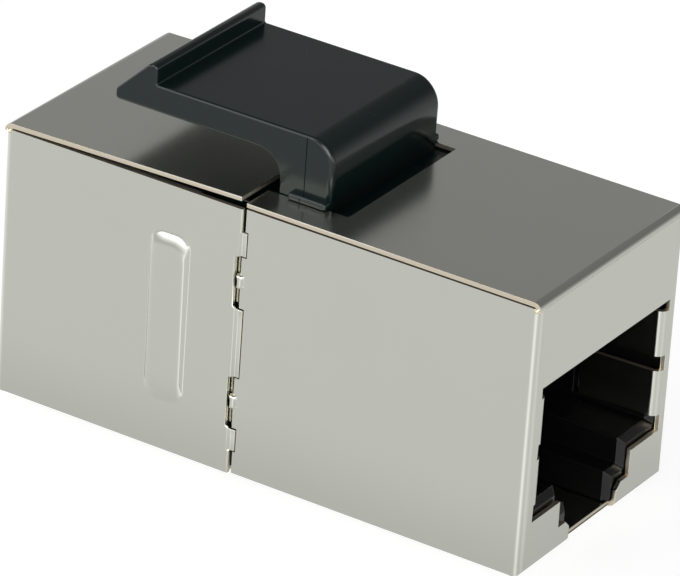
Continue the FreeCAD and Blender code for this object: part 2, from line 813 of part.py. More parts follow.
def build_latch():
    """Mould the keystone latch: saddle under the shells, root with its ledge, arm, lip and ramp."""
    body = new_body("latch_clip")
    saddle = new_sketch(body, "XY_Plane", "latch_saddle", "saddle_base")
    draw(saddle, box_corners("- saddle_length/2", "saddle_length/2", "- saddle_width/2", "saddle_width/2"))
    pad(body, saddle, "housing_top - saddle_base")

    arm = new_sketch(body, "XZ_Plane", "latch_profile")
    root, front = "- latch_root_offset", "latch_front_offset"
    tip = "latch_tip_station - middle_station"
    shoulder = "latch_shoulder_station - middle_station"
    draw(arm, [
        (root, "housing_top - fit_gap"),
        (front, "housing_top - fit_gap"),
        (front, "latch_plate_top", "latch_corner_radius"),
        (shoulder, "latch_plate_top", "latch_shoulder_radius"),
        (shoulder, "latch_peak_height", "latch_peak_radius"),
        ("latch_peak_station - middle_station", "latch_peak_height", "latch_peak_radius"),
        (tip, "latch_underside + latch_tip_gauge", "latch_tip_radius"),
        (tip, "latch_underside", "latch_tip_radius"),
        (root, "latch_underside", "latch_root_radius"),
    ])
    pad(body, arm, "latch_width", symmetric=True)
    bevel_latch_rims(body)

    ledge = new_sketch(body, "XY_Plane", "foot_ledge", "body_height + fit_gap")
    draw(ledge, box_corners(
        "ledge_root_inset - latch_root_offset", "latch_front_offset - ledge_front_inset",
        "- latch_width/2 - ledge_reach", "latch_width/2 + ledge_reach", "ledge_corner_radius"))
    pad(body, ledge, "ledge_gauge")


def bevel_latch_rims(body):
    """Bevel the outline edges on both side faces of the latch above its saddle."""
    arm = body.Tip
    side = amount("latch_width/2")
    saddle_top = amount("housing_top") + TOLERANCE
    names = []
    for number, edge in enumerate(arm.Shape.Edges, start=1):
        ends = [vertex.Point for vertex in edge.Vertexes]
        on_side = all(abs(abs(point.y) - side) < TOLERANCE for point in ends)
        same_side = ends[0].y * ends[-1].y > 0
        if on_side and same_side and max(point.z for point in ends) > saddle_top:
            names.append(f"Edge{number}")
    rims = body.newObject("PartDesign::Chamfer", "latch_rims")
    rims.Base = (arm, names)
    rims.setExpression("Size", bound("latch_rim_bevel"))
    doc.recompute()


# --- The whole coupler ----------------------------------------------------------

def build_coupler():
    """Build every sub-part of the coupler in its place."""
    build_front_shell()
    build_rear_shell()
    build_latch()
    build_circuit_board()
    ends = (
        ("front", "front_width", "- middle_station", True),
        ("rear", "rear_width", "middle_station", False),
    )
    for end, width, x_shift, half_turned in ends:
        build_jack_housing(f"{end}_jack_housing", width, x_shift, half_turned)
        build_contact_carrier(f"{end}_contact_carrier", x_shift, half_turned)
        for number in range(1, CONTACTS_PER_JACK + 1):
            build_contact(f"{end}_contact_{number}", number, x_shift, half_turned)


def check_document():
    """Stop if any object failed or any sub-part is not one valid solid."""
    doc.recompute()
    failed = [item.Name for item in doc.Objects if any(state in FAILED_STATES for state in item.State)]
    if failed:
        raise RuntimeError(f"Failed objects: {failed}")
    for body in sub_parts():
        if body.Shape.isNull() or not body.Shape.isValid() or len(body.Shape.Solids) != 1:
            raise RuntimeError(f"{body.Label} is not one valid solid")


def sub_parts():
    """Return every sub-part of the document."""
    return [item for item in doc.Objects if item.TypeId == "PartDesign::Body"]


def write_parts():
    """Write each sub-part to its own STEP file."""
    os.makedirs("parts", exist_ok=True)
    for body in sub_parts():
        body.Shape.exportStep(f"parts/{body.Label}.step")
        box = body.Shape.BoundBox
        print(f"{body.Label}: {body.Shape.Volume:.2f} mm3, X {box.XMin:.2f}..{box.XMax:.2f}, "
              f"Y {box.YMin:.2f}..{box.YMax:.2f}, Z {box.ZMin:.2f}..{box.ZMax:.2f}")


fill_sheet()
build_coupler()
check_document()
write_parts()
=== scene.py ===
"""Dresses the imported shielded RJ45 inline coupler and sets it in a plain studio.

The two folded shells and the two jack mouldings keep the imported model's form and get
their broken edges here. The shells' stop ribs and snap bumps are rounded further, their
side plates come down over the base plate, and their lower corners are closed. The keystone
latch is moulded afresh, and the contacts and the circuit board's solder lands are laid out
by geometry nodes.
"""

from __future__ import annotations

import logging
import math
from dataclasses import dataclass
from enum import Enum
from typing import Sequence

import bmesh
import bpy
from mathutils import Matrix, Vector


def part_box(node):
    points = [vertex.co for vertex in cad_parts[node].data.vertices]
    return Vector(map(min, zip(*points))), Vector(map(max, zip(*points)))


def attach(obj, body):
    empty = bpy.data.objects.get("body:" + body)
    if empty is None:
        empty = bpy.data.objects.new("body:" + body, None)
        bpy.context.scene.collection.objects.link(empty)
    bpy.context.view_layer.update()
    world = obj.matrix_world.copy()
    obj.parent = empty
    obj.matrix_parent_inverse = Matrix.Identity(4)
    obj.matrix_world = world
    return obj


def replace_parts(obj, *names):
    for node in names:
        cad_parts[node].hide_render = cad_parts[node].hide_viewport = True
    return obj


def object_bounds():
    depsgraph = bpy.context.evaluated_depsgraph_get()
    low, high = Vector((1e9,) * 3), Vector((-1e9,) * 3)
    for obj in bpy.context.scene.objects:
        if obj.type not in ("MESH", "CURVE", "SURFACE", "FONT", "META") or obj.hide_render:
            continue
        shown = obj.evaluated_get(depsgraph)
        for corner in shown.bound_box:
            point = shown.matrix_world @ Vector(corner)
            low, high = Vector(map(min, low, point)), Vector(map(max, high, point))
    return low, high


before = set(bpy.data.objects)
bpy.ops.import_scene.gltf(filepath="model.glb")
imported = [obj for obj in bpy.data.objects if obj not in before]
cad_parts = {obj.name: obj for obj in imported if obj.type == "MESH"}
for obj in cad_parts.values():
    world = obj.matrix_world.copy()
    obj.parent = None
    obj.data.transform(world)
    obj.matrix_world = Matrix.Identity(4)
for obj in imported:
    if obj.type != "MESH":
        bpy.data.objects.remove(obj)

log = logging.getLogger("coupler")

MM = 0.001
CUT_ATTRIBUTE = "cut_edge"
CAD_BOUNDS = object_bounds()
SHARP_ANGLE = math.radians(30)
CREASE_ANGLE = math.radians(50)
MIX_FACTOR, MIX_FIRST, MIX_SECOND, MIX_RESULT = 0, 6, 7, 2

Corner = tuple[float, float, float]
Colour = tuple[float, float, float]
Fall = tuple[float, float, float, float]
Socket = bpy.types.NodeSocket


class Slot(Enum):
    """The record's material slots."""

    SHELL = "shell_steel"
    JACK = "jack_plastic"
    LATCH = "latch_plastic"
    CONTACT = "contact_gold"
    BOARD = "board_laminate"


class End(Enum):
    """The coupler's two ends, each with the side of the middle that it lies on."""

    FRONT = -1
    REAR = 1

    @property
    def label(self) -> str:
        """The word that the nodes of this end start with."""
        return self.name.lower()


# --- Node helpers -----------------------------------------------------------------


@dataclass
class Graph:
    """A node tree that is being wired up, whether of a material, a group or a modifier."""

    tree: bpy.types.NodeTree

    def add(self, kind: str, **settings: object) -> bpy.types.Node:
        """Add a node and set the properties or inputs that are given.

        Args:
            kind: The node's type name.
            **settings: Property names, or input names with underscores for spaces, each with its
                value or, for an input, the output socket that is wired to it.

        Returns:
            The new node.
        """
        node = self.tree.nodes.new(kind)
        for name, value in settings.items():
            if isinstance(value, Socket):
                self.link(value, node.inputs[name.replace("_", " ")])
            elif hasattr(node, name):
                setattr(node, name, value)
            else:
                node.inputs[name.replace("_", " ")].default_value = value
        return node

    def link(self, source: Socket, target: Socket) -> None:
        """Wire one output to one input."""
        self.tree.links.new(source, target)

    def maths(self, operation: str, *values: object) -> Socket:
        """Add a Math node.

        Args:
            operation: The node's operation.
            *values: Numbers, or output sockets to wire in.

        Returns:
            Its result.
        """
        node = self.add("ShaderNodeMath", operation=operation)
        for socket, value in zip(node.inputs, values):
            if isinstance(value, (int, float)):
                socket.default_value = value
            else:
                self.link(value, socket)
        return node.outputs[0]

    def blend(self, factor: object, first: object, second: object) -> Socket:
        """Mix two colours.

        Args:
            factor: A number or an output socket from 0, the first, to 1, the second.
            first: A colour or an output socket.
            second: A colour or an output socket.

        Returns:
            The mixed colour.
        """
        node = self.add("ShaderNodeMix", data_type="RGBA")
        for place, value in ((MIX_FACTOR, factor), (MIX_FIRST, first), (MIX_SECOND, second)):
            socket = node.inputs[place]
            if isinstance(value, Socket):
                self.link(value, socket)
            elif isinstance(value, tuple):
                socket.default_value = (*value, 1.0)
            else:
                socket.default_value = value
        return node.outputs[MIX_RESULT]

    def fade(self, factor: Socket, first: object, second: object) -> Socket:
        """Mix two numbers.

        Args:
            factor: The share of the first, from 0 to 1.
            first: A number or an output socket.
            second: A number or an output socket.

        Returns:
            The mixed number.
        """
        rest = self.maths("SUBTRACT", 1.0, factor)
        return self.maths("ADD", self.maths("MULTIPLY", factor, first), self.maths("MULTIPLY", rest, second))

    def choose(self, test: Socket, otherwise: bpy.types.Node,
               then: bpy.types.Node) -> bpy.types.Node:
        """Mix two shaders.

        Args:
            test: The share of the second, from 0 to 1.
            otherwise: The first shader's node.
            then: The second shader's node.

        Returns:
            The Mix Shader node.
        """
        node = self.add("ShaderNodeMixShader")
        for socket, source in zip(node.inputs, (test, otherwise.outputs[0], then.outputs[0])):
            self.link(source, socket)
        return node

    def parts(self, vector: Socket) -> tuple[Socket, ...]:
        """Return the X, Y and Z of a vector."""
        return tuple(self.add("ShaderNodeSeparateXYZ", Vector=vector).outputs)

    def span(self, value: Socket, low: float, high: float,
             first: float = 0.0, last: float = 1.0) -> Socket:
        """Ease from one number to another while a value crosses a range.

        Args:
            value: The value.
            low: Where the range starts.
            high: Where it ends.
            first: The result at and below its start.
            last: The result at and above its end.

        Returns:
            The eased number.
        """
        node = self.add("ShaderNodeMapRange", interpolation_type="SMOOTHSTEP", Value=value,
                        From_Min=low, From_Max=high, To_Min=first, To_Max=last)
        return node.outputs["Result"]

    def row(self, geometry: Socket, count: Socket,
            step: Socket, material: Socket) -> Socket:
        """Repeat a geometry along Y, make the copies real and give them their material.

        Args:
            geometry: What is repeated.
            count: How many there are.
            step: From one to the next.
            material: Their material.

        Returns:
            The row.
        """
        offset = self.add("ShaderNodeCombineXYZ", Y=step)
        line = self.add("GeometryNodeMeshLine", Count=count, Offset=offset.outputs[0])
        copies = self.add("GeometryNodeInstanceOnPoints", Points=line.outputs[0], Instance=geometry)
        real = self.add("GeometryNodeRealizeInstances", Geometry=copies.outputs[0])
        dressed = self.add("GeometryNodeSetMaterial", Geometry=real.outputs[0], Material=material)
        return dressed.outputs[0]


def new_group(name: str, kind: str, inputs: Sequence[tuple],
              outputs: Sequence[tuple[str, str]]) -> tuple[Graph, bpy.types.Node, bpy.types.Node]:
    """Start a node group with named sockets.

    Args:
        name: The group's name.
        kind: Its tree type.
        inputs: Pairs or triples of socket name, socket type and default value.
        outputs: Pairs of socket name and socket type.

    Returns:
        The graph, its input node and its output node.
    """
    tree = bpy.data.node_groups.new(name, kind)
    for entry in inputs:
        socket = tree.interface.new_socket(entry[0], in_out="INPUT", socket_type=entry[1])
        if len(entry) > 2:
            socket.default_value = entry[2]
    for label, socket_type in outputs:
        tree.interface.new_socket(label, in_out="OUTPUT", socket_type=socket_type)
    graph = Graph(tree)
    return graph, graph.add("NodeGroupInput"), graph.add("NodeGroupOutput")


# --- Effects that several finishes share --------------------------------------------


def rolled_grain_group() -> bpy.types.NodeTree:
    """Build the fine streaks that rolling leaves in sheet metal.

    Returns:
        A shader group that puts out a streak height and a broad cloudy mask.
    """
    graph, source, sink = new_group(
        "rolled_grain", "ShaderNodeTree",
        [("Streaks per metre", "NodeSocketFloat", 9000.0), ("Stretch", "NodeSocketFloat", 0.18),
         ("Clouds per metre", "NodeSocketFloat", 90.0)],
        [("Height", "NodeSocketFloat"), ("Clouds", "NodeSocketFloat")])
    place = graph.add("ShaderNodeTexCoord").outputs["Object"]
    x, y, z = graph.parts(place)
    drawn = graph.maths("MULTIPLY", x, source.outputs["Stretch"])
    squeezed = graph.add("ShaderNodeCombineXYZ", X=drawn, Y=y, Z=z)
    streaks = graph.add("ShaderNodeTexNoise", Detail=3.0, Roughness=0.6, Vector=squeezed.outputs[0],
                        Scale=source.outputs["Streaks per metre"])
    clouds = graph.add("ShaderNodeTexNoise", Detail=4.0, Roughness=0.55, Vector=place,
                       Scale=source.outputs["Clouds per metre"])
    graph.link(streaks.outputs[0], sink.inputs["Height"])
    graph.link(clouds.outputs[0], sink.inputs["Clouds"])
    return graph.tree


def moulded_skin_group() -> bpy.types.NodeTree:
    """Build the faint waviness, grain and specks of an injection-moulded skin.

    Returns:
        A shader group that puts out a height and a mask of dust specks.
    """
    graph, source, sink = new_group(
        "moulded_skin", "ShaderNodeTree",
        [("Waves per metre", "NodeSocketFloat", 260.0), ("Grain per metre", "NodeSocketFloat", 7000.0),
         ("Grain share", "NodeSocketFloat", 0.25), ("Specks per metre", "NodeSocketFloat", 900.0)],
        [("Height", "NodeSocketFloat"), ("Specks", "NodeSocketFloat")])
    speck_size, shuffle, rarity = 0.09, 37.0, 0.93
    place = graph.add("ShaderNodeTexCoord").outputs["Object"]
    waves, grain = (graph.add("ShaderNodeTexNoise", Detail=2.0, Vector=place, Scale=source.outputs[size])
                    for size in ("Waves per metre", "Grain per metre"))
    specks = graph.add("ShaderNodeTexVoronoi", feature="F1", Vector=place,
                       Scale=source.outputs["Specks per metre"])
    fine = graph.maths("MULTIPLY", grain.outputs[0], source.outputs["Grain share"])
    graph.link(graph.maths("ADD", waves.outputs[0], fine), sink.inputs["Height"])
    near = graph.maths("LESS_THAN", specks.outputs["Distance"], speck_size)
    draw = graph.maths("FRACT", graph.maths("MULTIPLY", waves.outputs[0], shuffle))
    rare = graph.maths("GREATER_THAN", draw, rarity)
    graph.link(graph.maths("MULTIPLY", near, rare), sink.inputs["Specks"])
    return graph.tree


# --- Layouts that repeat ----------------------------------------------------------------


def wire_row_group() -> bpy.types.NodeTree:
    """Build the layout that sweeps a wire along each route and repeats them in a row.

    Returns:
        A geometry group that takes the routes as edges and puts out the wires.
    """
    graph, source, sink = new_group(
        "wire_row", "GeometryNodeTree",
        [("Routes", "NodeSocketGeometry"), ("Width", "NodeSocketFloat"), ("Gauge", "NodeSocketFloat"),
         ("Roundness", "NodeSocketFloat"), ("Count", "NodeSocketInt"), ("Step", "NodeSocketFloat"),
         ("Material", "NodeSocketMaterial")],
        [("Wires", "NodeSocketGeometry")])
    curves = graph.add("GeometryNodeMeshToCurve", Mesh=source.outputs["Routes"])
    level = graph.add("GeometryNodeSetCurveNormal", mode="FREE", Normal=(0.0, 1.0, 0.0),
                      Curve=curves.outputs[0])
    section = graph.add("GeometryNodeCurvePrimitiveQuadrilateral", Width=source.outputs["Width"],
                        Height=source.outputs["Gauge"])
    rounded = graph.add("GeometryNodeFilletCurve", mode="POLY", Count=2, Curve=section.outputs[0],
                        Radius=source.outputs["Roundness"])
    sweep = graph.add("GeometryNodeCurveToMesh", Fill_Caps=True, Curve=level.outputs[0],
                      Profile_Curve=rounded.outputs[0])
    graph.link(graph.row(sweep.outputs[0], source.outputs["Count"], source.outputs["Step"],
                         source.outputs["Material"]), sink.inputs["Wires"])
    return graph.tree


def land_grid_group() -> bpy.types.NodeTree:
    """Build the layout that repeats a solder land over both faces of an upright board.

    Returns:
        A geometry group that puts out the lands.
    """
    graph, source, sink = new_group(
        "land_grid", "GeometryNodeTree",
        [("Geometry", "NodeSocketGeometry"), ("Foot radius", "NodeSocketFloat"),
         ("Crown radius", "NodeSocketFloat"), ("Rise", "NodeSocketFloat"), ("Face", "NodeSocketFloat"),
         ("Top", "NodeSocketFloat"), ("Row gap", "NodeSocketFloat"), ("Count", "NodeSocketInt"),
         ("Pitch", "NodeSocketFloat"), ("Material", "NodeSocketMaterial")],
        [("Lands", "NodeSocketGeometry")])
    land = graph.add("GeometryNodeMeshCone", Vertices=20, Radius_Bottom=source.outputs["Foot radius"],
                     Radius_Top=source.outputs["Crown radius"], Depth=source.outputs["Rise"])

    lands = graph.add("GeometryNodeJoinGeometry")
    start = graph.maths("MULTIPLY", source.outputs["Pitch"],
                        graph.maths("MULTIPLY", graph.maths("SUBTRACT", source.outputs["Count"], 1.0), -0.5))
    lower = graph.maths("SUBTRACT", source.outputs["Top"], source.outputs["Row gap"])
    faces = ((1.0, source.outputs["Face"]), (-1.0, graph.maths("MULTIPLY", source.outputs["Face"], -1.0)))
    for facing, face in faces:
        for height in (source.outputs["Top"], lower):
            spot = graph.add("ShaderNodeCombineXYZ", X=face, Y=start, Z=height)
            placed = graph.add("GeometryNodeTransform", Rotation=(0.0, facing * math.pi / 2, 0.0),
                               Geometry=land.outputs["Mesh"], Translation=spot.outputs[0])
            graph.link(placed.outputs[0], lands.inputs[0])
    graph.link(graph.row(lands.outputs[0], source.outputs["Count"], source.outputs["Pitch"],
                         source.outputs["Material"]), sink.inputs["Lands"])
    return graph.tree


def laid_out(base: bpy.types.Mesh, tree: bpy.types.NodeTree, values: dict[str, object]) -> bpy.types.Mesh:
    """Run a layout on a mesh and keep what it makes as a plain mesh.

    Args:
        base: The mesh that the layout starts from.
        tree: The layout.
        values: A value for each of its named inputs.

    Returns:
        The new mesh.
    """
    holder = bpy.data.objects.new(tree.name, base)
    bpy.context.scene.collection.objects.link(holder)
    layout = holder.modifiers.new("layout", "NODES")
    layout.node_group = tree
    for item in tree.interface.items_tree:
        if item.name in values:
            layout[item.identifier] = values[item.name]
    whole = holder.evaluated_get(bpy.context.evaluated_depsgraph_get())
    mesh = bpy.data.meshes.new_from_object(whole)
    bpy.data.objects.remove(holder)
    mesh.shade_smooth()
    mesh.set_sharp_from_angle(angle=CREASE_ANGLE)
    return mesh


# --- Finishes -------------------------------------------------------------------------


@dataclass(frozen=True)
class Finish:
    """What every finish holds: its name and its plain colour and gloss."""

    name: str
    colour: Colour
    roughness: float

    def start(self) -> tuple[bpy.types.Material, Graph, bpy.types.Node]:
        """Start the material.

        Returns:
            The material, its graph and its Principled BSDF with the plain values set.
        """
        material = bpy.data.materials.new(self.name)
        material.use_nodes = True
        material.diffuse_color = (*self.colour, 1.0)
        graph = Graph(material.node_tree)
        shader = material.node_tree.nodes["Principled BSDF"]
        shader.inputs["Base Color"].default_value = (*self.colour, 1.0)
        shader.inputs["Roughness"].default_value = self.roughness
        return material, graph, shader

    def bump(self, graph: Graph, shader: bpy.types.Node, height: Socket, depth: float) -> None:
        """Raise the surface's grain.

        Args:
            graph: The material's graph.
            shader: Its Principled BSDF.
            height: The height, from 0 to 1.
            depth: What a height of 1 stands for, in metres.
        """
        bump = graph.add("ShaderNodeBump", Distance=depth, Height=height)
        graph.link(bump.outputs[0], shader.inputs["Normal"])


@dataclass(frozen=True)
class PlatedSteel(Finish):
    """Nickel-plated sheet with a satin rolled grain, bare and duller where it was cut."""

    shade: Colour = (0.71, 0.72, 0.65)
    bare: Colour = (0.74, 0.66, 0.53)
    bare_roughness: float = 0.42
    grain_depth: float = 0.0003 * MM
    roughness_swing: float = 0.05

    def build(self) -> bpy.types.Material:
        """Build the material.

        Returns:
            The material.
        """
        material, graph, shader = self.start()
        shader.inputs["Metallic"].default_value = 1.0
        grain = graph.add("ShaderNodeGroup", node_tree=bpy.data.node_groups["rolled_grain"])
        tone = graph.blend(grain.outputs["Clouds"], self.colour, self.shade)
        cut = graph.add("ShaderNodeAttribute", attribute_name=CUT_ATTRIBUTE).outputs["Fac"]
        graph.link(graph.blend(cut, tone, self.bare), shader.inputs["Base Color"])
        swing = graph.maths("MULTIPLY_ADD", grain.outputs["Height"], self.roughness_swing,
                            self.roughness - self.roughness_swing / 2)
        dulled = graph.maths("MULTIPLY_ADD", cut, self.bare_roughness - self.roughness, swing)
        graph.link(dulled, shader.inputs["Roughness"])
        self.bump(graph, shader, grain.outputs["Height"], self.grain_depth)
        return material


@dataclass(frozen=True)
class MouldedPlastic(Finish):
    """Injection-moulded plastic, with dust specks that show on a dark part."""

    speck: Colour = (0.09, 0.095, 0.09)
    wave_depth: float = 0.004 * MM
    ior: float = 1.5
    specular: float = 0.5
    parting: float | None = None
    parting_width: float = 0.035 * MM

    def paint_parting_shade(self, graph: Graph, shader: bpy.types.Node) -> None:
        """Draw the mould's parting line up the faces that look along Y as a dark line of painted shade, by
        taking its specular away.

        Args:
            graph: The material's graph.
            shader: Its Principled BSDF.
        """
        askew, square = 0.9, 0.98
        coordinates = graph.add("ShaderNodeTexCoord").outputs
        x, _, _ = graph.parts(coordinates["Object"])
        _, facing, _ = graph.parts(coordinates["Normal"])
        off = graph.maths("ABSOLUTE", graph.maths("SUBTRACT", x, self.parting))
        line = graph.span(off, self.parting_width / 2, self.parting_width, 1.0, 0.0)
        side = graph.span(graph.maths("ABSOLUTE", facing), askew, square)
        # Painted shade: the specular is taken away along the line, so it reads dark in place of the shade in
        # the parting line's groove.
        dulled = graph.maths("MULTIPLY", graph.maths("MULTIPLY", line, side), -self.specular)
        graph.link(graph.maths("ADD", dulled, self.specular), shader.inputs["Specular IOR Level"])

    def build(self) -> bpy.types.Material:
        """Build the material.

        Returns:
            The material.
        """
        material, graph, shader = self.start()
        shader.inputs["IOR"].default_value = self.ior
        if self.parting is not None:
            self.paint_parting_shade(graph, shader)
        skin = graph.add("ShaderNodeGroup", node_tree=bpy.data.node_groups["moulded_skin"])
        graph.link(graph.blend(skin.outputs["Specks"], self.colour, self.speck), shader.inputs["Base Color"])
        self.bump(graph, shader, skin.outputs["Height"], self.wave_depth)
        return material


@dataclass(frozen=True)
class GoldPlate(Finish):
    """Gold flash over drawn wire and solder lands."""

    grain_depth: float = 0.0006 * MM
    worn_shade: float = 0.8

    def build(self) -> bpy.types.Material:
        """Build the material.

        Returns:
            The material.
        """
        material, graph, shader = self.start()
        shader.inputs["Metallic"].default_value = 1.0
        grain = graph.add("ShaderNodeGroup", node_tree=bpy.data.node_groups["rolled_grain"])
        worn = tuple(channel * self.worn_shade for channel in self.colour)
        graph.link(graph.blend(grain.outputs["Clouds"], self.colour, worn), shader.inputs["Base Color"])
        self.bump(graph, shader, grain.outputs["Height"], self.grain_depth)
        return material


@dataclass(frozen=True)
class SolderMask(Finish):
    """Glossy solder mask over a glass laminate, whose weave shows faintly."""

    weave_pitch: float = 0.5 * MM
    weave_depth: float = 0.006 * MM
    weave_show: float = 0.2
    pale_shade: float = 1.5

    def build(self) -> bpy.types.Material:
        """Build the material.

        Returns:
            The material.
        """
        material, graph, shader = self.start()
        _, y, z = graph.parts(graph.add("ShaderNodeTexCoord").outputs["Object"])
        turns = math.tau / self.weave_pitch
        warp, weft = (graph.maths("SINE", graph.maths("MULTIPLY", place, turns)) for place in (y, z))
        weave = graph.maths("MULTIPLY", warp, weft)
        pale = tuple(channel * self.pale_shade for channel in self.colour)
        shown = graph.maths("MULTIPLY_ADD", weave, self.weave_show, self.weave_show)
        graph.link(graph.blend(shown, self.colour, pale), shader.inputs["Base Color"])
        self.bump(graph, shader, weave, self.weave_depth)
        return material


# --- Mesh helpers ---------------------------------------------------------------------


def add_piece(name: str, mesh: bpy.types.Mesh, material: bpy.types.Material) -> bpy.types.Object:
    """Put a mesh into the scene as a piece of the coupler.

    Args:
        name: The piece's name.
        mesh: Its mesh, already in place.
        material: Its material.

    Returns:
        The piece.
    """
    mesh.materials.clear()
    mesh.materials.append(material)
    piece = bpy.data.objects.new(name, mesh)
    bpy.context.scene.collection.objects.link(piece)
    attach(piece, "root")
    log.info("%s: %d faces", name, len(mesh.polygons))
    return piece


def flatten_faces(piece: bpy.types.Object) -> None:
    """Keep a piece's broad faces flat beside its rounded edges."""
    flatten = piece.modifiers.new("flat_faces", "WEIGHTED_NORMAL")
    flatten.keep_sharp = True


def break_edges(piece: bpy.types.Object, width: float, segments: int) -> None:
    """Round a piece's sharp edges and keep its broad faces flat.

    Args:
        piece: The piece.
        width: How far each edge is set back, in metres.
        segments: How many facets round the edge.
    """
    bevel = piece.modifiers.new("broken_edges", "BEVEL")
    bevel.width = width
    bevel.segments = segments
    bevel.limit_method = "ANGLE"
    bevel.angle_limit = SHARP_ANGLE
    bevel.miter_outer = "MITER_ARC"
    flatten_faces(piece)


def merged_copy(node: str, name: str) -> bpy.types.Mesh:
    """Copy a CAD node's mesh with its triangles joined up into whole faces.

    Args:
        node: The CAD node.
        name: The new mesh's name.

    Returns:
        The new mesh, smooth across its bends.
    """
    merge_distance = 1e-7
    flat_angle = 0.002
    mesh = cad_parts[node].data.copy()
    mesh.name = name
    if "custom_normal" in mesh.attributes:
        mesh.attributes.remove(mesh.attributes["custom_normal"])
    solid = bmesh.new()
    solid.from_mesh(mesh)
    bmesh.ops.remove_doubles(solid, verts=solid.verts, dist=merge_distance)
    bmesh.ops.dissolve_limit(solid, angle_limit=flat_angle, verts=solid.verts, edges=solid.edges)
    for face in solid.faces:
        face.smooth = True
    solid.to_mesh(mesh)
    solid.free()
    return mesh


def settle_order(solid: bmesh.types.BMesh) -> None:
    """Put a mesh's faces into an order that is the same in every run.

    Args:
        solid: The mesh being built.
    """
    solid.verts.index_update()
    faces = sorted(solid.faces, key=lambda face: [vertex.index for vertex in face.verts])
    places = {face: place for place, face in enumerate(faces)}
    solid.faces.sort(key=places.get)


def rounded_outline(corners: Sequence[Corner], steps: int) -> list[Vector]:
    """Round the corners of a closed outline.

    Args:
        corners: Each corner's across and up places and its radius.
        steps: How many sides each rounding gets.

    Returns:
        The outline's points, in the corners' order.
    """
    outline = []
    spots = [Vector(corner[:2]) for corner in corners]
    for index, (spot, corner) in enumerate(zip(spots, corners)):
        radius = corner[2]
        if radius <= 0:
            outline.append(spot)
            continue
        into = (spots[index - 1] - spot).normalized()
        out = (spots[(index + 1) % len(spots)] - spot).normalized()
        half = into.angle(out) / 2
        centre = spot + (into + out).normalized() * (radius / math.sin(half))
        first = spot + into * (radius / math.tan(half)) - centre
        last = spot + out * (radius / math.tan(half)) - centre
        for step in range(steps + 1):
            outline.append(centre + first.slerp(last, step / steps).normalized() * radius)
    return outline


def extrude_outline(solid: bmesh.types.BMesh, outline: Sequence[Vector], low: float, high: float) -> None:
    """Add a prism over an outline in the XZ plane.

    Args:
        solid: The mesh being built.
        outline: The outline's across and up points.
        low: The prism's lowest Y.
        high: Its highest Y.
    """
    near = [solid.verts.new((point.x, low, point.y)) for point in outline]
    far = [solid.verts.new((point.x, high, point.y)) for point in outline]
    faces = [solid.faces.new(near), solid.faces.new(list(reversed(far)))]
    for index in range(len(outline)):
        after = (index + 1) % len(outline)
        faces.append(solid.faces.new((near[index], far[index], far[after], near[after])))
    for face in faces:
        face.smooth = True
    bmesh.ops.recalc_face_normals(solid, faces=faces)


# --- The coupler's parts ----------------------------------------------------------------


@dataclass
class StopRib:
    """The rib pressed out of each front side plate, which stands highest at its upper end."""

    plate: float = 7.25 * MM
    rise: float = 0.3 * MM
    left: float = -6.775 * MM
    width: float = 2.35 * MM
    foot: float = 3.95 * MM
    height: float = 9.6 * MM
    extra_width: float = 0.08 * MM
    extra_height: float = 0.3 * MM
    flank_squeeze: float = 0.6
    lower_rise: float = 0.5
    play: float = 0.05 * MM
    levels: tuple[tuple[float, float], ...] = (
        (0.0, 0.0), (0.3, 0.05), (0.8, 0.12), (0.95, 0.2), (1.0, 0.36))

    def inset(self, level: float) -> float:
        """Look up how far in from its foot a flank stands.

        Args:
            level: The share of the rise.

        Returns:
            The inset there, as a share of the width.
        """
        for (low, start), (high, end) in zip(self.levels, self.levels[1:]):
            if level <= high:
                return start + (end - start) * (level - low) / (high - low)
        return self.levels[-1][1]

    def shape(self, solid: bmesh.types.BMesh) -> None:
        """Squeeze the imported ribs' flanks outwards, draw them up and lower their lower ends.

        Args:
            solid: The front shell.
        """
        middle = self.left + self.width / 2
        for vertex in solid.verts:
            x, y, z = vertex.co
            if not (self.plate - self.rise < abs(y) and abs(x - middle) < self.width / 2 + self.play
                    and self.foot - self.play < z < self.foot + self.height + self.play):
                continue
            raised = max(0.0, abs(y) - self.plate)
            inset = self.inset(min(1.0, raised / self.rise)) * self.width
            half = self.width / 2 - inset
            new_half = (self.width + self.extra_width) / 2 - self.flank_squeeze * inset
            vertex.co.x = middle - self.extra_width / 2 + (x - middle) * new_half / half
            up = (z - self.foot) / self.height
            vertex.co.z = self.foot + up * (self.height + self.extra_height)
            vertex.co.y -= math.copysign(raised * (1 - self.lower_rise) * (1 - up), y)


@dataclass
class SnapBumps:
    """The four bumps pressed out of the rear shell's tongues, swollen into domes."""

    tongue_start: float = -1.5 * MM
    floor: float = 7.1 * MM
    crown: float = 7.2 * MM
    foot: tuple[float, float] = (-1.4 * MM, -1.34 * MM)
    lean: float = 2.2
    play: float = 0.002 * MM
    rings: tuple[tuple[float, float], ...] = ((0.05 * MM, 0.03 * MM), (0.05 * MM, 0.012 * MM))

    def shape(self, solid: bmesh.types.BMesh) -> None:
        """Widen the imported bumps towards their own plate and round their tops.

        Args:
            solid: The rear shell.
        """
        for vertex in solid.verts:
            x, y, _ = vertex.co
            raised = abs(y) > self.floor + self.play and x < 0.0
            at_foot = abs(abs(y) - self.floor) < self.play and self.foot[0] < x < self.foot[1]
            if raised or at_foot:
                lean = self.lean if x > self.tongue_start else 1.0
                vertex.co.x = self.tongue_start + (x - self.tongue_start) * lean
        tops = [face for face in solid.faces if face.calc_center_median().x < 0.0
                and all(abs(vertex.co.y) > self.crown for vertex in face.verts)]
        for thickness, depth in self.rings:
            bmesh.ops.inset_individual(solid, faces=tops, thickness=thickness, depth=depth)


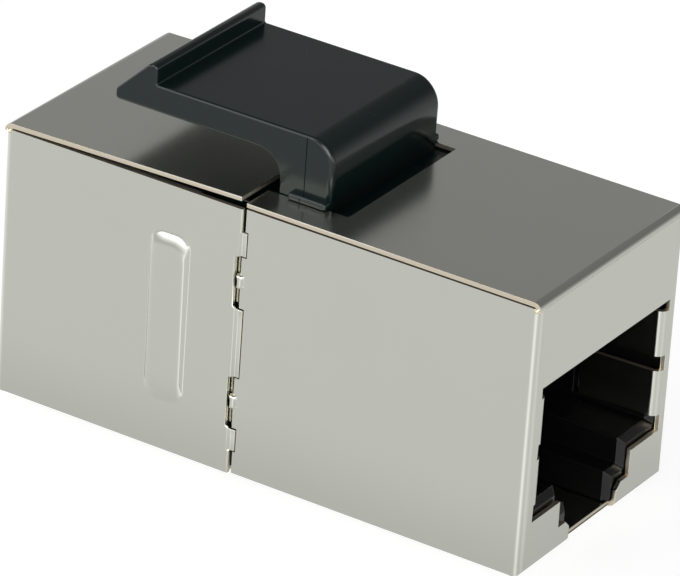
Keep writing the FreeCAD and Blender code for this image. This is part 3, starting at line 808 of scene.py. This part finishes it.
@dataclass
class BaseCorner:
    """The rounded lower corner where a shell's base bend meets its upright bends."""

    fold_centre: float = 15.7 * MM
    fold_radius: float = 0.45 * MM
    gauge: float = 0.25 * MM
    base: float = 1.2 * MM
    top: float = 2.0 * MM
    skin: float = 0.001 * MM
    lead: float = 0.12 * MM
    steps: int = 10

    def tuck(self, solid: bmesh.types.BMesh, half_width: float) -> None:
        """Bring what stands out past the upright bends' round back onto it.

        Args:
            solid: The shell.
            half_width: Half the width over its side plates.
        """
        centre = half_width - self.fold_radius
        for vertex in solid.verts:
            x, y, z = vertex.co
            across, along = abs(x) - self.fold_centre, abs(y) - centre
            if z < self.top and across > 0.0 and along > 0.0:
                share = min(1.0, self.fold_radius / math.hypot(across, along))
                vertex.co.x = math.copysign(self.fold_centre + across * share, x)
                vertex.co.y = math.copysign(centre + along * share, y)

    def fill(self, solid: bmesh.types.BMesh, half_width: float, way: float) -> None:
        """Add the two corners' closed sheet, down to the base bend.

        Args:
            solid: The shell.
            half_width: Half the width over its side plates.
            way: Which way its end faces along X, 1 or -1.
        """
        centre = half_width - self.fold_radius
        outer, inner = self.fold_radius + self.skin, self.fold_radius - self.gauge
        stations = []
        for step in range(self.steps + 1):
            turn = math.radians(90) * step / self.steps
            along, across = math.cos(turn), math.sin(turn)
            stations.append((self.fold_centre + min(outer * along, self.fold_radius),
                             centre + outer * across,
                             self.fold_centre + inner * along,
                             centre + inner * across,
                             self.base + self.fold_radius * (1 - across)))
        x_out, y_out, x_in, y_in, low = stations[-1]
        stations.append((x_out - self.lead, y_out, x_in - self.lead, y_in, low))
        for side in (-1, 1):
            rings = []
            for x_out, y_out, x_in, y_in, low in stations:
                spots = ((x_out, y_out, low), (x_out, y_out, self.top),
                         (x_in, y_in, self.top), (x_in, y_in, low))
                rings.append([solid.verts.new((way * x, side * y, z)) for x, y, z in spots])
            faces = [solid.faces.new(rings[0]), solid.faces.new(list(reversed(rings[-1])))]
            for ring, after in zip(rings, rings[1:]):
                for index in range(len(ring)):
                    beside = (index + 1) % len(ring)
                    faces.append(solid.faces.new((ring[index], after[index], after[beside], ring[beside])))
            for face in faces:
                face.smooth = True
            bmesh.ops.recalc_face_normals(solid, faces=faces)


@dataclass
class FoldedShell:
    """One of the two folded sheet shells."""

    end: End
    steel: bpy.types.Material
    front_half_width: float = 7.25 * MM
    rear_half_width: float = 7.1 * MM
    gauge: float = 0.25 * MM
    base: float = 1.2 * MM
    side_base: float = 1.55 * MM
    side_top: float = 16.35 * MM
    fold_start: float = 15.65 * MM
    edge_roll: float = 0.03 * MM
    seam_roll: float = 0.09 * MM
    merge_distance: float = 0.012 * MM
    shortest_edge: float = 0.12 * MM
    plate_area: float = 15 * MM * MM
    seam_reach: float = 2.0 * MM
    seam_merge: float = 0.039 * MM
    tuck_gauges: float = 1.2
    cut_spare: float = 1.05
    square_share: float = 0.8
    facing: float = 0.9
    square_angle: float = math.radians(75)

    @property
    def half_width(self) -> float:
        """Half the width over this shell's side plates."""
        return self.front_half_width if self.end is End.FRONT else self.rear_half_width

    def is_cut(self, face: bmesh.types.BMFace) -> bool:
        """Tell whether a face is the sheet's cut edge.

        Args:
            face: A face of the shell before its edges are rolled.

        Returns:
            True for a face about as narrow as the sheet with square edges all round.
        """
        rim = sum(edge.calc_length() for edge in face.edges)
        square = sum(edge.calc_length() for edge in face.edges
                     if edge.calc_face_angle(0.0) > self.square_angle)
        return face.calc_area() < self.cut_spare * self.gauge * rim / 2 and square > self.square_share * rim

    def is_rolled(self, edge: bmesh.types.BMEdge) -> bool:
        """Tell whether an edge is rolled over, as the longer sharp ones are but those under the lid.

        Args:
            edge: An edge of the shell.

        Returns:
            True for an edge to roll.
        """
        under_lid = any(face.normal.z > self.facing and self.is_cut(face) for face in edge.link_faces)
        return (edge.calc_face_angle(0.0) > SHARP_ANGLE and not under_lid
                and edge.calc_length() > self.shortest_edge)

    def is_seam(self, edge: bmesh.types.BMEdge) -> bool:
        """Tell whether an edge is one of the front side plates' outer ones at the seam.

        Args:
            edge: An edge of the shell.

        Returns:
            True for such an edge.
        """
        outside = all(abs(vertex.co.y) > self.front_half_width - self.merge_distance
                      and vertex.co.z < self.side_top + self.merge_distance for vertex in edge.verts)
        return outside and any(face.normal.x > self.facing for face in edge.link_faces)

    def tuck_base(self, solid: bmesh.types.BMesh) -> None:
        """Bring the side plates down over the base plate's edges.

        Args:
            solid: The shell.
        """
        reach = self.merge_distance
        inside = self.half_width - self.gauge - reach
        added = []
        for edge in list(solid.edges):
            start, end = (vertex.co for vertex in edge.verts)
            if max(start.z, end.z) > self.side_base + reach or abs(start.y) < inside:
                continue
            for cut_at in (-self.fold_start, self.fold_start):
                if (start.x - cut_at) * (end.x - cut_at) < 0:
                    share = (cut_at - start.x) / (end.x - start.x)
                    added.append(bmesh.utils.edge_split(edge, edge.verts[0], share)[1])
        bmesh.ops.connect_verts(solid, verts=added)
        for vertex in solid.verts:
            x, y, z = vertex.co
            if abs(y) < inside:
                continue
            if abs(z - self.side_base) < reach and abs(x) < self.fold_start + reach:
                vertex.co.z = self.base
            elif z < self.side_base - reach:
                vertex.co.y = math.copysign(self.half_width - self.tuck_gauges * self.gauge, y)

    def roll(self, solid: bmesh.types.BMesh, edges: Sequence[bmesh.types.BMEdge], amount: float) -> None:
        """Roll edges over and mark the new faces as plated.

        Args:
            solid: The shell.
            edges: Its edges to roll.
            amount: How far each edge is set back.
        """
        rolled = bmesh.ops.bevel(solid, geom=list(edges), offset=amount, offset_type="OFFSET", segments=2,
                                 profile=0.5, affect="EDGES", clamp_overlap=False)
        cut = solid.faces.layers.float[CUT_ATTRIBUTE]
        for face in rolled["faces"]:
            face[cut] = 0.0
            face.smooth = True

    def flatten_sides(self, solid: bmesh.types.BMesh) -> None:
        """Bring the large side faces' corners back into their plane, and join the closest at the seam.

        Args:
            solid: The shell.
        """
        plates = [face for face in solid.faces
                  if abs(abs(face.calc_center_median().y) - self.half_width) < self.merge_distance
                  and face.calc_area() > self.plate_area]
        corners = [vertex for vertex in solid.verts if any(face in plates for face in vertex.link_faces)]
        for vertex in corners:
            vertex.co.y = math.copysign(self.half_width, vertex.co.y)
        close = [vertex for vertex in corners if abs(vertex.co.x) < self.seam_reach]
        bmesh.ops.remove_doubles(solid, verts=close, dist=self.seam_merge)

    def build(self) -> bpy.types.Object:
        """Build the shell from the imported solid, with its cut edges rolled over.

        Returns:
            The shell's piece.
        """
        node = f"{self.end.label}_shell"
        mesh = merged_copy(node, node)
        solid = bmesh.new()
        solid.from_mesh(mesh)
        bmesh.ops.remove_doubles(solid, verts=solid.verts, dist=self.merge_distance)
        cut = solid.faces.layers.float.new(CUT_ATTRIBUTE)
        for face in solid.faces:
            face[cut] = float(self.is_cut(face))
        self.tuck_base(solid)
        corner = BaseCorner()
        corner.tuck(solid, self.half_width)
        if self.end is End.FRONT:
            StopRib().shape(solid)
        else:
            SnapBumps().shape(solid)
        solid.normal_update()
        self.roll(solid, [edge for edge in solid.edges if self.is_rolled(edge) and self.is_seam(edge)],
                  self.seam_roll)
        solid.normal_update()
        self.roll(solid, [edge for edge in solid.edges if self.is_rolled(edge)], self.edge_roll)
        self.flatten_sides(solid)
        corner.fill(solid, self.half_width, -1 if self.end is End.FRONT else 1)
        for edge in solid.edges:
            edge.smooth = edge.calc_face_angle(0.0) < CREASE_ANGLE
        settle_order(solid)
        solid.to_mesh(mesh)
        solid.free()
        piece = add_piece(f"{self.end.label}_shield", mesh, self.steel)
        flatten_faces(piece)
        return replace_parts(piece, node)


@dataclass
class JackMoulding:
    """One of the two jack housings, with the plug cavity."""

    end: End
    plastic: bpy.types.Material
    edge_break: float = 0.05 * MM
    edge_facets: int = 3

    def build(self) -> bpy.types.Object:
        """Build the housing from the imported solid, with its moulded edges rounded.

        Returns:
            The housing's piece.
        """
        node = f"{self.end.label}_jack_housing"
        piece = add_piece(f"{self.end.label}_jack", merged_copy(node, node), self.plastic)
        break_edges(piece, self.edge_break, self.edge_facets)
        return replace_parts(piece, node)


@dataclass
class KeystoneLatch:
    """The moulded latch: saddle, root, ledge, sprung arm, lip and ramp. Sizes are in millimetres."""

    plastic: bpy.types.Material
    width: float = 10.1
    tip: float = -10.93
    peak: float = -8.93
    shoulder: float = -8.43
    root: float = -0.8
    front: float = 2.42
    plate_gauge: float = 1.5
    tip_gauge: float = 0.58
    tip_radius: float = 0.24
    lip_height: float = 1.05
    lip_radius: float = 0.25
    peak_radius: float = 0.45
    lip_foot_radius: float = 0.08
    sunk: float = 0.4
    corner_radius: float = 1.45
    root_radius: float = 1.4
    rim_radius: float = 0.36
    rim_facets: int = 4
    rim_easing: float = 1.5
    lesser_rim: float = 0.4
    saddle_width: float = 12.4
    saddle_length: float = 7.9
    saddle_gauge: float = 1.79
    shell_gap: float = 0.33
    ledge_start: float = 0.0
    ledge_end: float = 2.3
    ledge_reach: float = 0.4
    ledge_gauge: float = 0.4
    arc_steps: int = 10

    def arm_outline(self, base: float, top: float) -> list[Vector]:
        """Draw the latch's side outline.

        Args:
            base: The height at which the root ends inside the saddle.
            top: The height of the arm's top face.

        Returns:
            The outline's points, in millimetres.
        """
        underside = top - self.plate_gauge
        return rounded_outline([
            (self.root, base, 0.0),
            (self.front, base, 0.0),
            (self.front, top, self.corner_radius),
            (self.shoulder, top, self.lip_foot_radius),
            (self.shoulder, top + self.lip_height, self.lip_radius),
            (self.peak, top + self.lip_height, self.peak_radius),
            (self.tip, underside + self.tip_gauge, self.tip_radius),
            (self.tip, underside, self.tip_radius),
            (self.root, underside, self.root_radius),
        ], self.arc_steps)

    def weigh_rims(self, solid: bmesh.types.BMesh, top: float) -> None:
        """Weigh the arm's side edges: fully down its front, less elsewhere, easing round the bend.

        Args:
            solid: The arm.
            top: The height of its top face.
        """
        weight = solid.edges.layers.float.new("bevel_weight_edge")
        tiny = 1e-4
        bend_start = self.front - self.corner_radius
        for edge in solid.edges:
            start, end = (vertex.co for vertex in edge.verts)
            if abs(start.y - end.y) > tiny:
                continue
            middle = (start + end) / 2
            outside = middle.z > top - self.corner_radius or middle.x > self.front - tiny
            turned = (middle.x - bend_start) / (self.front - bend_start) if outside else 0.0
            fullness = min(1.0, max(0.0, self.rim_easing * turned))
            edge[weight] = self.lesser_rim + (1 - self.lesser_rim) * fullness

    def build(self) -> bpy.types.Object:
        """Build the latch as one moulding.

        Returns:
            The latch's piece.
        """
        low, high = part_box("latch_clip")
        saddle_top = low.z / MM + self.saddle_gauge
        top = high.z / MM - self.lip_height
        solid = bmesh.new()
        arm = self.arm_outline(saddle_top - self.sunk, top)
        extrude_outline(solid, arm, -self.width / 2, self.width / 2)
        self.weigh_rims(solid, top)

        weight = solid.edges.layers.float["bevel_weight_edge"]
        shell_top = saddle_top + self.shell_gap
        half_saddle = self.saddle_length / 2
        blocks = (
            ((-half_saddle, low.z / MM), (half_saddle, saddle_top), self.saddle_width / 2),
            ((self.ledge_start, shell_top), (self.ledge_end, shell_top + self.ledge_gauge),
             self.width / 2 + self.ledge_reach),
        )
        for (left, base), (right, peak), reach in blocks:
            kept = set(solid.edges)
            outline = [Vector(spot) for spot in ((left, base), (right, base), (right, peak), (left, peak))]
            extrude_outline(solid, outline, -reach, reach)
            for edge in set(solid.edges) - kept:
                edge[weight] = self.lesser_rim
        bmesh.ops.scale(solid, vec=(MM, MM, MM), verts=solid.verts)
        mesh = bpy.data.meshes.new("keystone_latch")
        solid.to_mesh(mesh)
        solid.free()
        piece = add_piece("keystone_latch", mesh, self.plastic)
        bevel = piece.modifiers.new("rounded_rims", "BEVEL")
        bevel.width = self.rim_radius * MM
        bevel.segments = self.rim_facets
        bevel.limit_method = "WEIGHT"
        bevel.use_clamp_overlap = False
        flatten_faces(piece)
        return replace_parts(piece, "latch_clip")


@dataclass
class ContactRow:
    """The eight sprung wires of one jack, swept along their routes. Sizes are in millimetres."""

    end: End
    gold: bpy.types.Material
    count: int = 8
    pitch: float = 1.02
    width: float = 0.42
    gauge: float = 0.3
    roundness: float = 0.08
    half_length: float = 16.15
    base: float = 1.2
    tail: float = 17.25
    run_height: float = 12.2
    low_height: float = 11.0
    jog: tuple[float, float] = (15.35, 14.45)
    turn: float = 3.3
    turn_drop: float = 1.0
    turn_radius: float = 0.42
    tip: tuple[float, float] = (10.4, 8.7)
    arc_steps: int = 6

    def route(self, low: bool) -> list[Vector]:
        """Draw one wire's route from its board tail to its tip.

        Args:
            low: Whether the tail reaches the board at the lower height and jogs up.

        Returns:
            The route's points, as station from the coupler's end and height.
        """
        spring = [
            (self.turn, self.run_height, self.turn_radius),
            (self.turn, self.run_height - self.turn_drop, self.turn_radius),
            (*self.tip, 0.0),
        ]
        jog = [(self.jog[0], self.low_height, self.gauge), (self.jog[1], self.run_height, self.gauge)]
        tail = (self.tail, self.low_height if low else self.run_height, 0.0)
        return rounded_outline([tail] + (jog if low else []) + spring, self.arc_steps)

    def build(self) -> bpy.types.Object:
        """Build the row from the routes of its first two wires.

        Returns:
            The row's piece.
        """
        side = self.end.value
        spots = []
        links = []
        for number, low in ((1, False), (2, True)):
            across = side * (number - (self.count + 1) / 2) * self.pitch
            route = self.route(low)
            links += [(len(spots) + index, len(spots) + index + 1) for index in range(len(route) - 1)]
            spots += [(side * (self.half_length - spot.x) * MM, across * MM, (self.base + spot.y) * MM)
                      for spot in route]
        routes = bpy.data.meshes.new("contact_routes")
        routes.from_pydata(spots, links, [])
        mesh = laid_out(routes, wire_row_group(), {
            "Width": self.width * MM,
            "Gauge": self.gauge * MM,
            "Roundness": self.roundness * MM,
            "Count": self.count // 2,
            "Step": side * 2 * self.pitch * MM,
            "Material": self.gold,
        })
        piece = add_piece(f"{self.end.label}_contacts", mesh, self.gold)
        nodes = [f"{self.end.label}_contact_{number}" for number in range(1, self.count + 1)]
        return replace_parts(piece, *nodes)


@dataclass
class SolderLands:
    """The soldered lands round the circuit board's vias, on both faces. Sizes are in millimetres."""

    gold: bpy.types.Material
    count: int = 8
    pitch: float = 1.02
    upper: float = 13.4
    row_gap: float = 1.2
    board_gauge: float = 1.0
    foot_radius: float = 0.42
    crown_radius: float = 0.24
    rise: float = 0.18

    def build(self) -> bpy.types.Object:
        """Build every land.

        Returns:
            The lands' piece.
        """
        mesh = laid_out(bpy.data.meshes.new("solder_lands"), land_grid_group(), {
            "Foot radius": self.foot_radius * MM,
            "Crown radius": self.crown_radius * MM,
            "Rise": self.rise * MM,
            "Face": self.board_gauge / 2 * MM,
            "Top": self.upper * MM,
            "Row gap": self.row_gap * MM,
            "Count": self.count,
            "Pitch": self.pitch * MM,
            "Material": self.gold,
        })
        return add_piece("solder_lands", mesh, self.gold)


# --- Studio -----------------------------------------------------------------------------


def grey(level: float) -> tuple[float, float, float, float]:
    """Return an opaque grey of a level."""
    return level, level, level, 1.0


@dataclass
class Viewpoint:
    """Where the camera stands. Angles are in degrees and lengths in metres."""

    azimuth: float = 31.09
    elevation: float = 27.0
    roll: float = 3.95
    distance: float = 335.8 * MM
    aim: tuple[float, float, float] = (-0.15 * MM, 0.0, 9.2 * MM)
    slide: tuple[float, float] = (0.33 * MM, 0.24 * MM)
    lens: float = 344.1
    nearest: float = 0.01

    def build(self) -> bpy.types.Object:
        """Place the camera and make it the scene's.

        Returns:
            The camera.
        """
        azimuth, elevation, roll = (math.radians(a) for a in (self.azimuth, self.elevation, self.roll))
        back = Vector((math.sin(azimuth) * math.cos(elevation),
                       -math.cos(azimuth) * math.cos(elevation), math.sin(elevation)))
        level = Vector((0, 0, 1)).cross(back).normalized()
        upright = back.cross(level)
        across = math.cos(roll) * level + math.sin(roll) * upright
        up = math.cos(roll) * upright - math.sin(roll) * level
        place = Vector(self.aim) + back * self.distance + across * self.slide[0] + up * self.slide[1]
        data = bpy.data.cameras.new("studio_camera")
        data.lens = self.lens
        data.clip_start = self.nearest
        camera = bpy.data.objects.new("studio_camera", data)
        camera.matrix_world = Matrix.Translation(place) @ Matrix((across, up, back)).transposed().to_4x4()
        bpy.context.scene.collection.objects.link(camera)
        bpy.context.scene.camera = camera
        return camera


@dataclass
class Studio:
    """A white floor under a soft surround: bright in front, dim behind, dark at the skyline.

    A fall is a range's start and end, and the light at each. The surround's ranges are along
    X, Y or Z of a direction of length 1.
    """

    floor_size: float = 3.0
    floor_white: float = 0.82
    floor_glow: float = 0.84
    floor_shade: float = 0.26
    # Painted shadow seen in reflections: how the floor's see-through colour darkens near the coupler.
    painted_shadow_fall: Fall = (0.5 * MM, 9 * MM, 0.86, 1.0)
    front_reach: float = 0.35
    front_fall: Fall = (0.25, 0.42, 2.6, 0.45)
    back_falls: tuple[Fall, Fall] = ((0.05, 0.16, 0.8, 0.45), (0.3, 0.56, 1.0, 0.5))
    end_turn: tuple[float, float] = (0.12, 0.4)
    end_fall: Fall = (-0.1, 0.5, 0.8, 0.2)
    low_light: float = 0.835
    low_lobes: tuple[tuple[float, float, float], ...] = (
        (-79, 16.0, 0.6), (-5, 16.0, 0.18), (170, 3.0, 0.35))
    floor_edge: tuple[float, float] = (-0.02, 0.03)
    skyline_depth: float = 0.07
    skyline_fall: Fall = (0.03, 0.12, 0.5, 1.0)
    glow_direction: tuple[float, float, float] = (0.46, -0.763, 0.454)
    glow_fall: Fall = (0.93, 0.99, 0.0, 6.0)
    lamp_place: tuple[float, float, float] = (-0.3, -0.4, 0.5)
    lamp_size: float = 0.5
    lamp_watts: float = 1.5

    def build_floor(self) -> bpy.types.Object:
        """Lay the floor, white to the camera, and see through it to the surround in reflections, darkened
        near the coupler as a painted shadow.

        Returns:
            The floor.
        """
        half = self.floor_size / 2
        corners = [(-half, -half, 0), (half, -half, 0), (half, half, 0), (-half, half, 0)]
        mesh = bpy.data.meshes.new("studio_floor")
        mesh.from_pydata(corners, [], [(0, 1, 2, 3)])
        floor = bpy.data.objects.new("studio_floor", mesh)
        bpy.context.scene.collection.objects.link(floor)
        material = bpy.data.materials.new("studio_floor")
        material.use_nodes = True
        graph = Graph(material.node_tree)
        material.node_tree.nodes.remove(material.node_tree.nodes["Principled BSDF"])

        plain = graph.add("ShaderNodeBsdfDiffuse", Color=grey(self.floor_white))
        shown = graph.add("ShaderNodeEmission", Strength=self.floor_glow)
        thin = graph.add("ShaderNodeBsdfDiffuse", Color=grey(self.floor_shade))
        both = graph.add("ShaderNodeAddShader")
        graph.link(thin.outputs[0], both.inputs[0])
        graph.link(shown.outputs[0], both.inputs[1])

        # Painted shadow: what reflections see through the floor is darkened near the coupler, standing in
        # for its shadow on the floor.
        x, y, _ = graph.parts(graph.add("ShaderNodeTexCoord").outputs["Object"])
        away = [graph.maths("SUBTRACT", graph.maths("ABSOLUTE", place), reach)
                for place, reach in zip((x, y), CAD_BOUNDS[1])]
        contact = graph.span(graph.maths("MAXIMUM", *away), *self.painted_shadow_fall)
        through = graph.add("ShaderNodeBsdfTransparent", Color=contact)

        rays = graph.add("ShaderNodeLightPath").outputs
        gloss = graph.choose(rays["Is Glossy Ray"], plain, through)
        seen = graph.choose(rays["Is Camera Ray"], gloss, both)
        graph.link(seen.outputs[0], material.node_tree.nodes["Material Output"].inputs["Surface"])
        mesh.materials.append(material)
        return floor

    def light_below(self, graph: Graph, x: Socket, y: Socket) -> Socket:
        """Build the light from below the skyline: even, with lobes round a few level directions.

        Args:
            graph: The world's graph.
            x: The direction's X.
            y: Its Y.

        Returns:
            The light's strength.
        """
        level = graph.maths("SQRT", graph.maths("ADD", graph.maths("MULTIPLY", x, x),
                                                graph.maths("MULTIPLY", y, y)))
        light = self.low_light
        for azimuth, sharpness, strength in self.low_lobes:
            turn = math.radians(azimuth)
            along = graph.maths("ADD", graph.maths("MULTIPLY", x, math.cos(turn)),
                                graph.maths("MULTIPLY", y, math.sin(turn)))
            ahead = graph.maths("MAXIMUM", graph.maths("DIVIDE", along, level), 0.0)
            light = graph.maths("MULTIPLY_ADD", graph.maths("POWER", ahead, sharpness), strength, light)
        return light

    def light_above(self, graph: Graph, y: Socket, z: Socket,
                    past_end: Socket) -> Socket:
        """Build the light from above the skyline: a low window in front, and dim behind and past the end.

        Args:
            graph: The world's graph.
            y: The direction's Y.
            z: Its Z.
            past_end: The share, from 0 to 1, by which it lies past the coupler's end.

        Returns:
            The light's strength.
        """
        ahead = graph.span(y, -self.front_reach, self.front_reach, 1.0, 0.0)
        behind = graph.maths("MULTIPLY", *(graph.span(z, *fall) for fall in self.back_falls))
        dim = graph.blend(past_end, behind, graph.span(z, *self.end_fall))
        return graph.fade(ahead, graph.span(z, *self.front_fall), dim)

    def build_world(self) -> None:
        """Build the surround: white to the camera, and softly lit round the coupler."""
        world = bpy.data.worlds.new("studio")
        bpy.context.scene.world = world
        world.use_nodes = True
        graph = Graph(world.node_tree)
        backdrop = world.node_tree.nodes["Background"]
        backdrop.inputs["Color"].default_value = grey(1.0)
        direction = graph.add("ShaderNodeTexCoord").outputs["Generated"]
        x, y, z = graph.parts(direction)
        past_end = graph.span(x, *self.end_turn)
        whole = graph.fade(graph.span(z, *self.floor_edge), self.light_above(graph, y, z, past_end),
                           self.light_below(graph, x, y))
        from_skyline = graph.maths("ABSOLUTE", graph.maths("ADD", z, self.skyline_depth))
        skyline = graph.span(from_skyline, *self.skyline_fall)
        shaded = graph.maths("MULTIPLY", whole, graph.blend(past_end, skyline, (1.0, 1.0, 1.0)))
        aim = graph.add("ShaderNodeVectorMath", operation="DOT_PRODUCT")
        graph.link(direction, aim.inputs[0])
        aim.inputs[1].default_value = self.glow_direction
        lit = graph.maths("ADD", shaded, graph.span(aim.outputs["Value"], *self.glow_fall))

        surround = graph.add("ShaderNodeBackground", Strength=lit)
        rays = graph.add("ShaderNodeLightPath").outputs
        seen = graph.choose(rays["Is Camera Ray"], surround, backdrop)
        graph.link(seen.outputs[0], world.node_tree.nodes["World Output"].inputs["Surface"])

    def hang_lamp(self) -> None:
        """Hang the square soft lamp, which points at the coupler."""
        data = bpy.data.lights.new("key_lamp", "AREA")
        data.size = self.lamp_size
        data.energy = self.lamp_watts
        lamp = bpy.data.objects.new("key_lamp", data)
        lamp.location = self.lamp_place
        lamp.rotation_euler = Vector(self.lamp_place).to_track_quat("Z", "Y").to_euler()
        bpy.context.scene.collection.objects.link(lamp)

    def build(self) -> None:
        """Build the studio round the coupler."""
        bpy.context.scene.view_settings.view_transform = "Standard"
        self.build_floor()
        self.build_world()
        self.hang_lamp()


# --- The whole scene ----------------------------------------------------------------------


def main() -> None:
    """Build the coupler's pieces in order, dress them and set up the studio."""
    logging.basicConfig(level=logging.INFO, format="%(name)s: %(message)s")
    rolled_grain_group()
    moulded_skin_group()
    steel = PlatedSteel("nickel_plated_sheet", colour=(0.75, 0.76, 0.69), roughness=0.2).build()
    housing_plastic = MouldedPlastic("housing_plastic", colour=(0.003, 0.003, 0.003), roughness=0.26).build()
    latch_plastic = MouldedPlastic("latch_plastic", colour=(0.002, 0.008, 0.007), roughness=0.2,
                                   parting=0.75 * MM).build()
    gold = GoldPlate("contact_gold", colour=(0.83, 0.64, 0.3), roughness=0.25).build()
    mask = SolderMask("solder_mask", colour=(0.02, 0.14, 0.07), roughness=0.3).build()

    for end in End:
        FoldedShell(end, steel).build()
        JackMoulding(end, housing_plastic).build()
        ContactRow(end, gold).build()
    KeystoneLatch(latch_plastic).build()
    SolderLands(gold).build()

    for name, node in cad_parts.items():
        if "contact_carrier" in name:
            node.material_slots[0].material = housing_plastic
        elif name == "circuit_board":
            node.material_slots[0].material = mask

    Studio().build()
    Viewpoint().build()


if __name__ == "__main__":
    main()
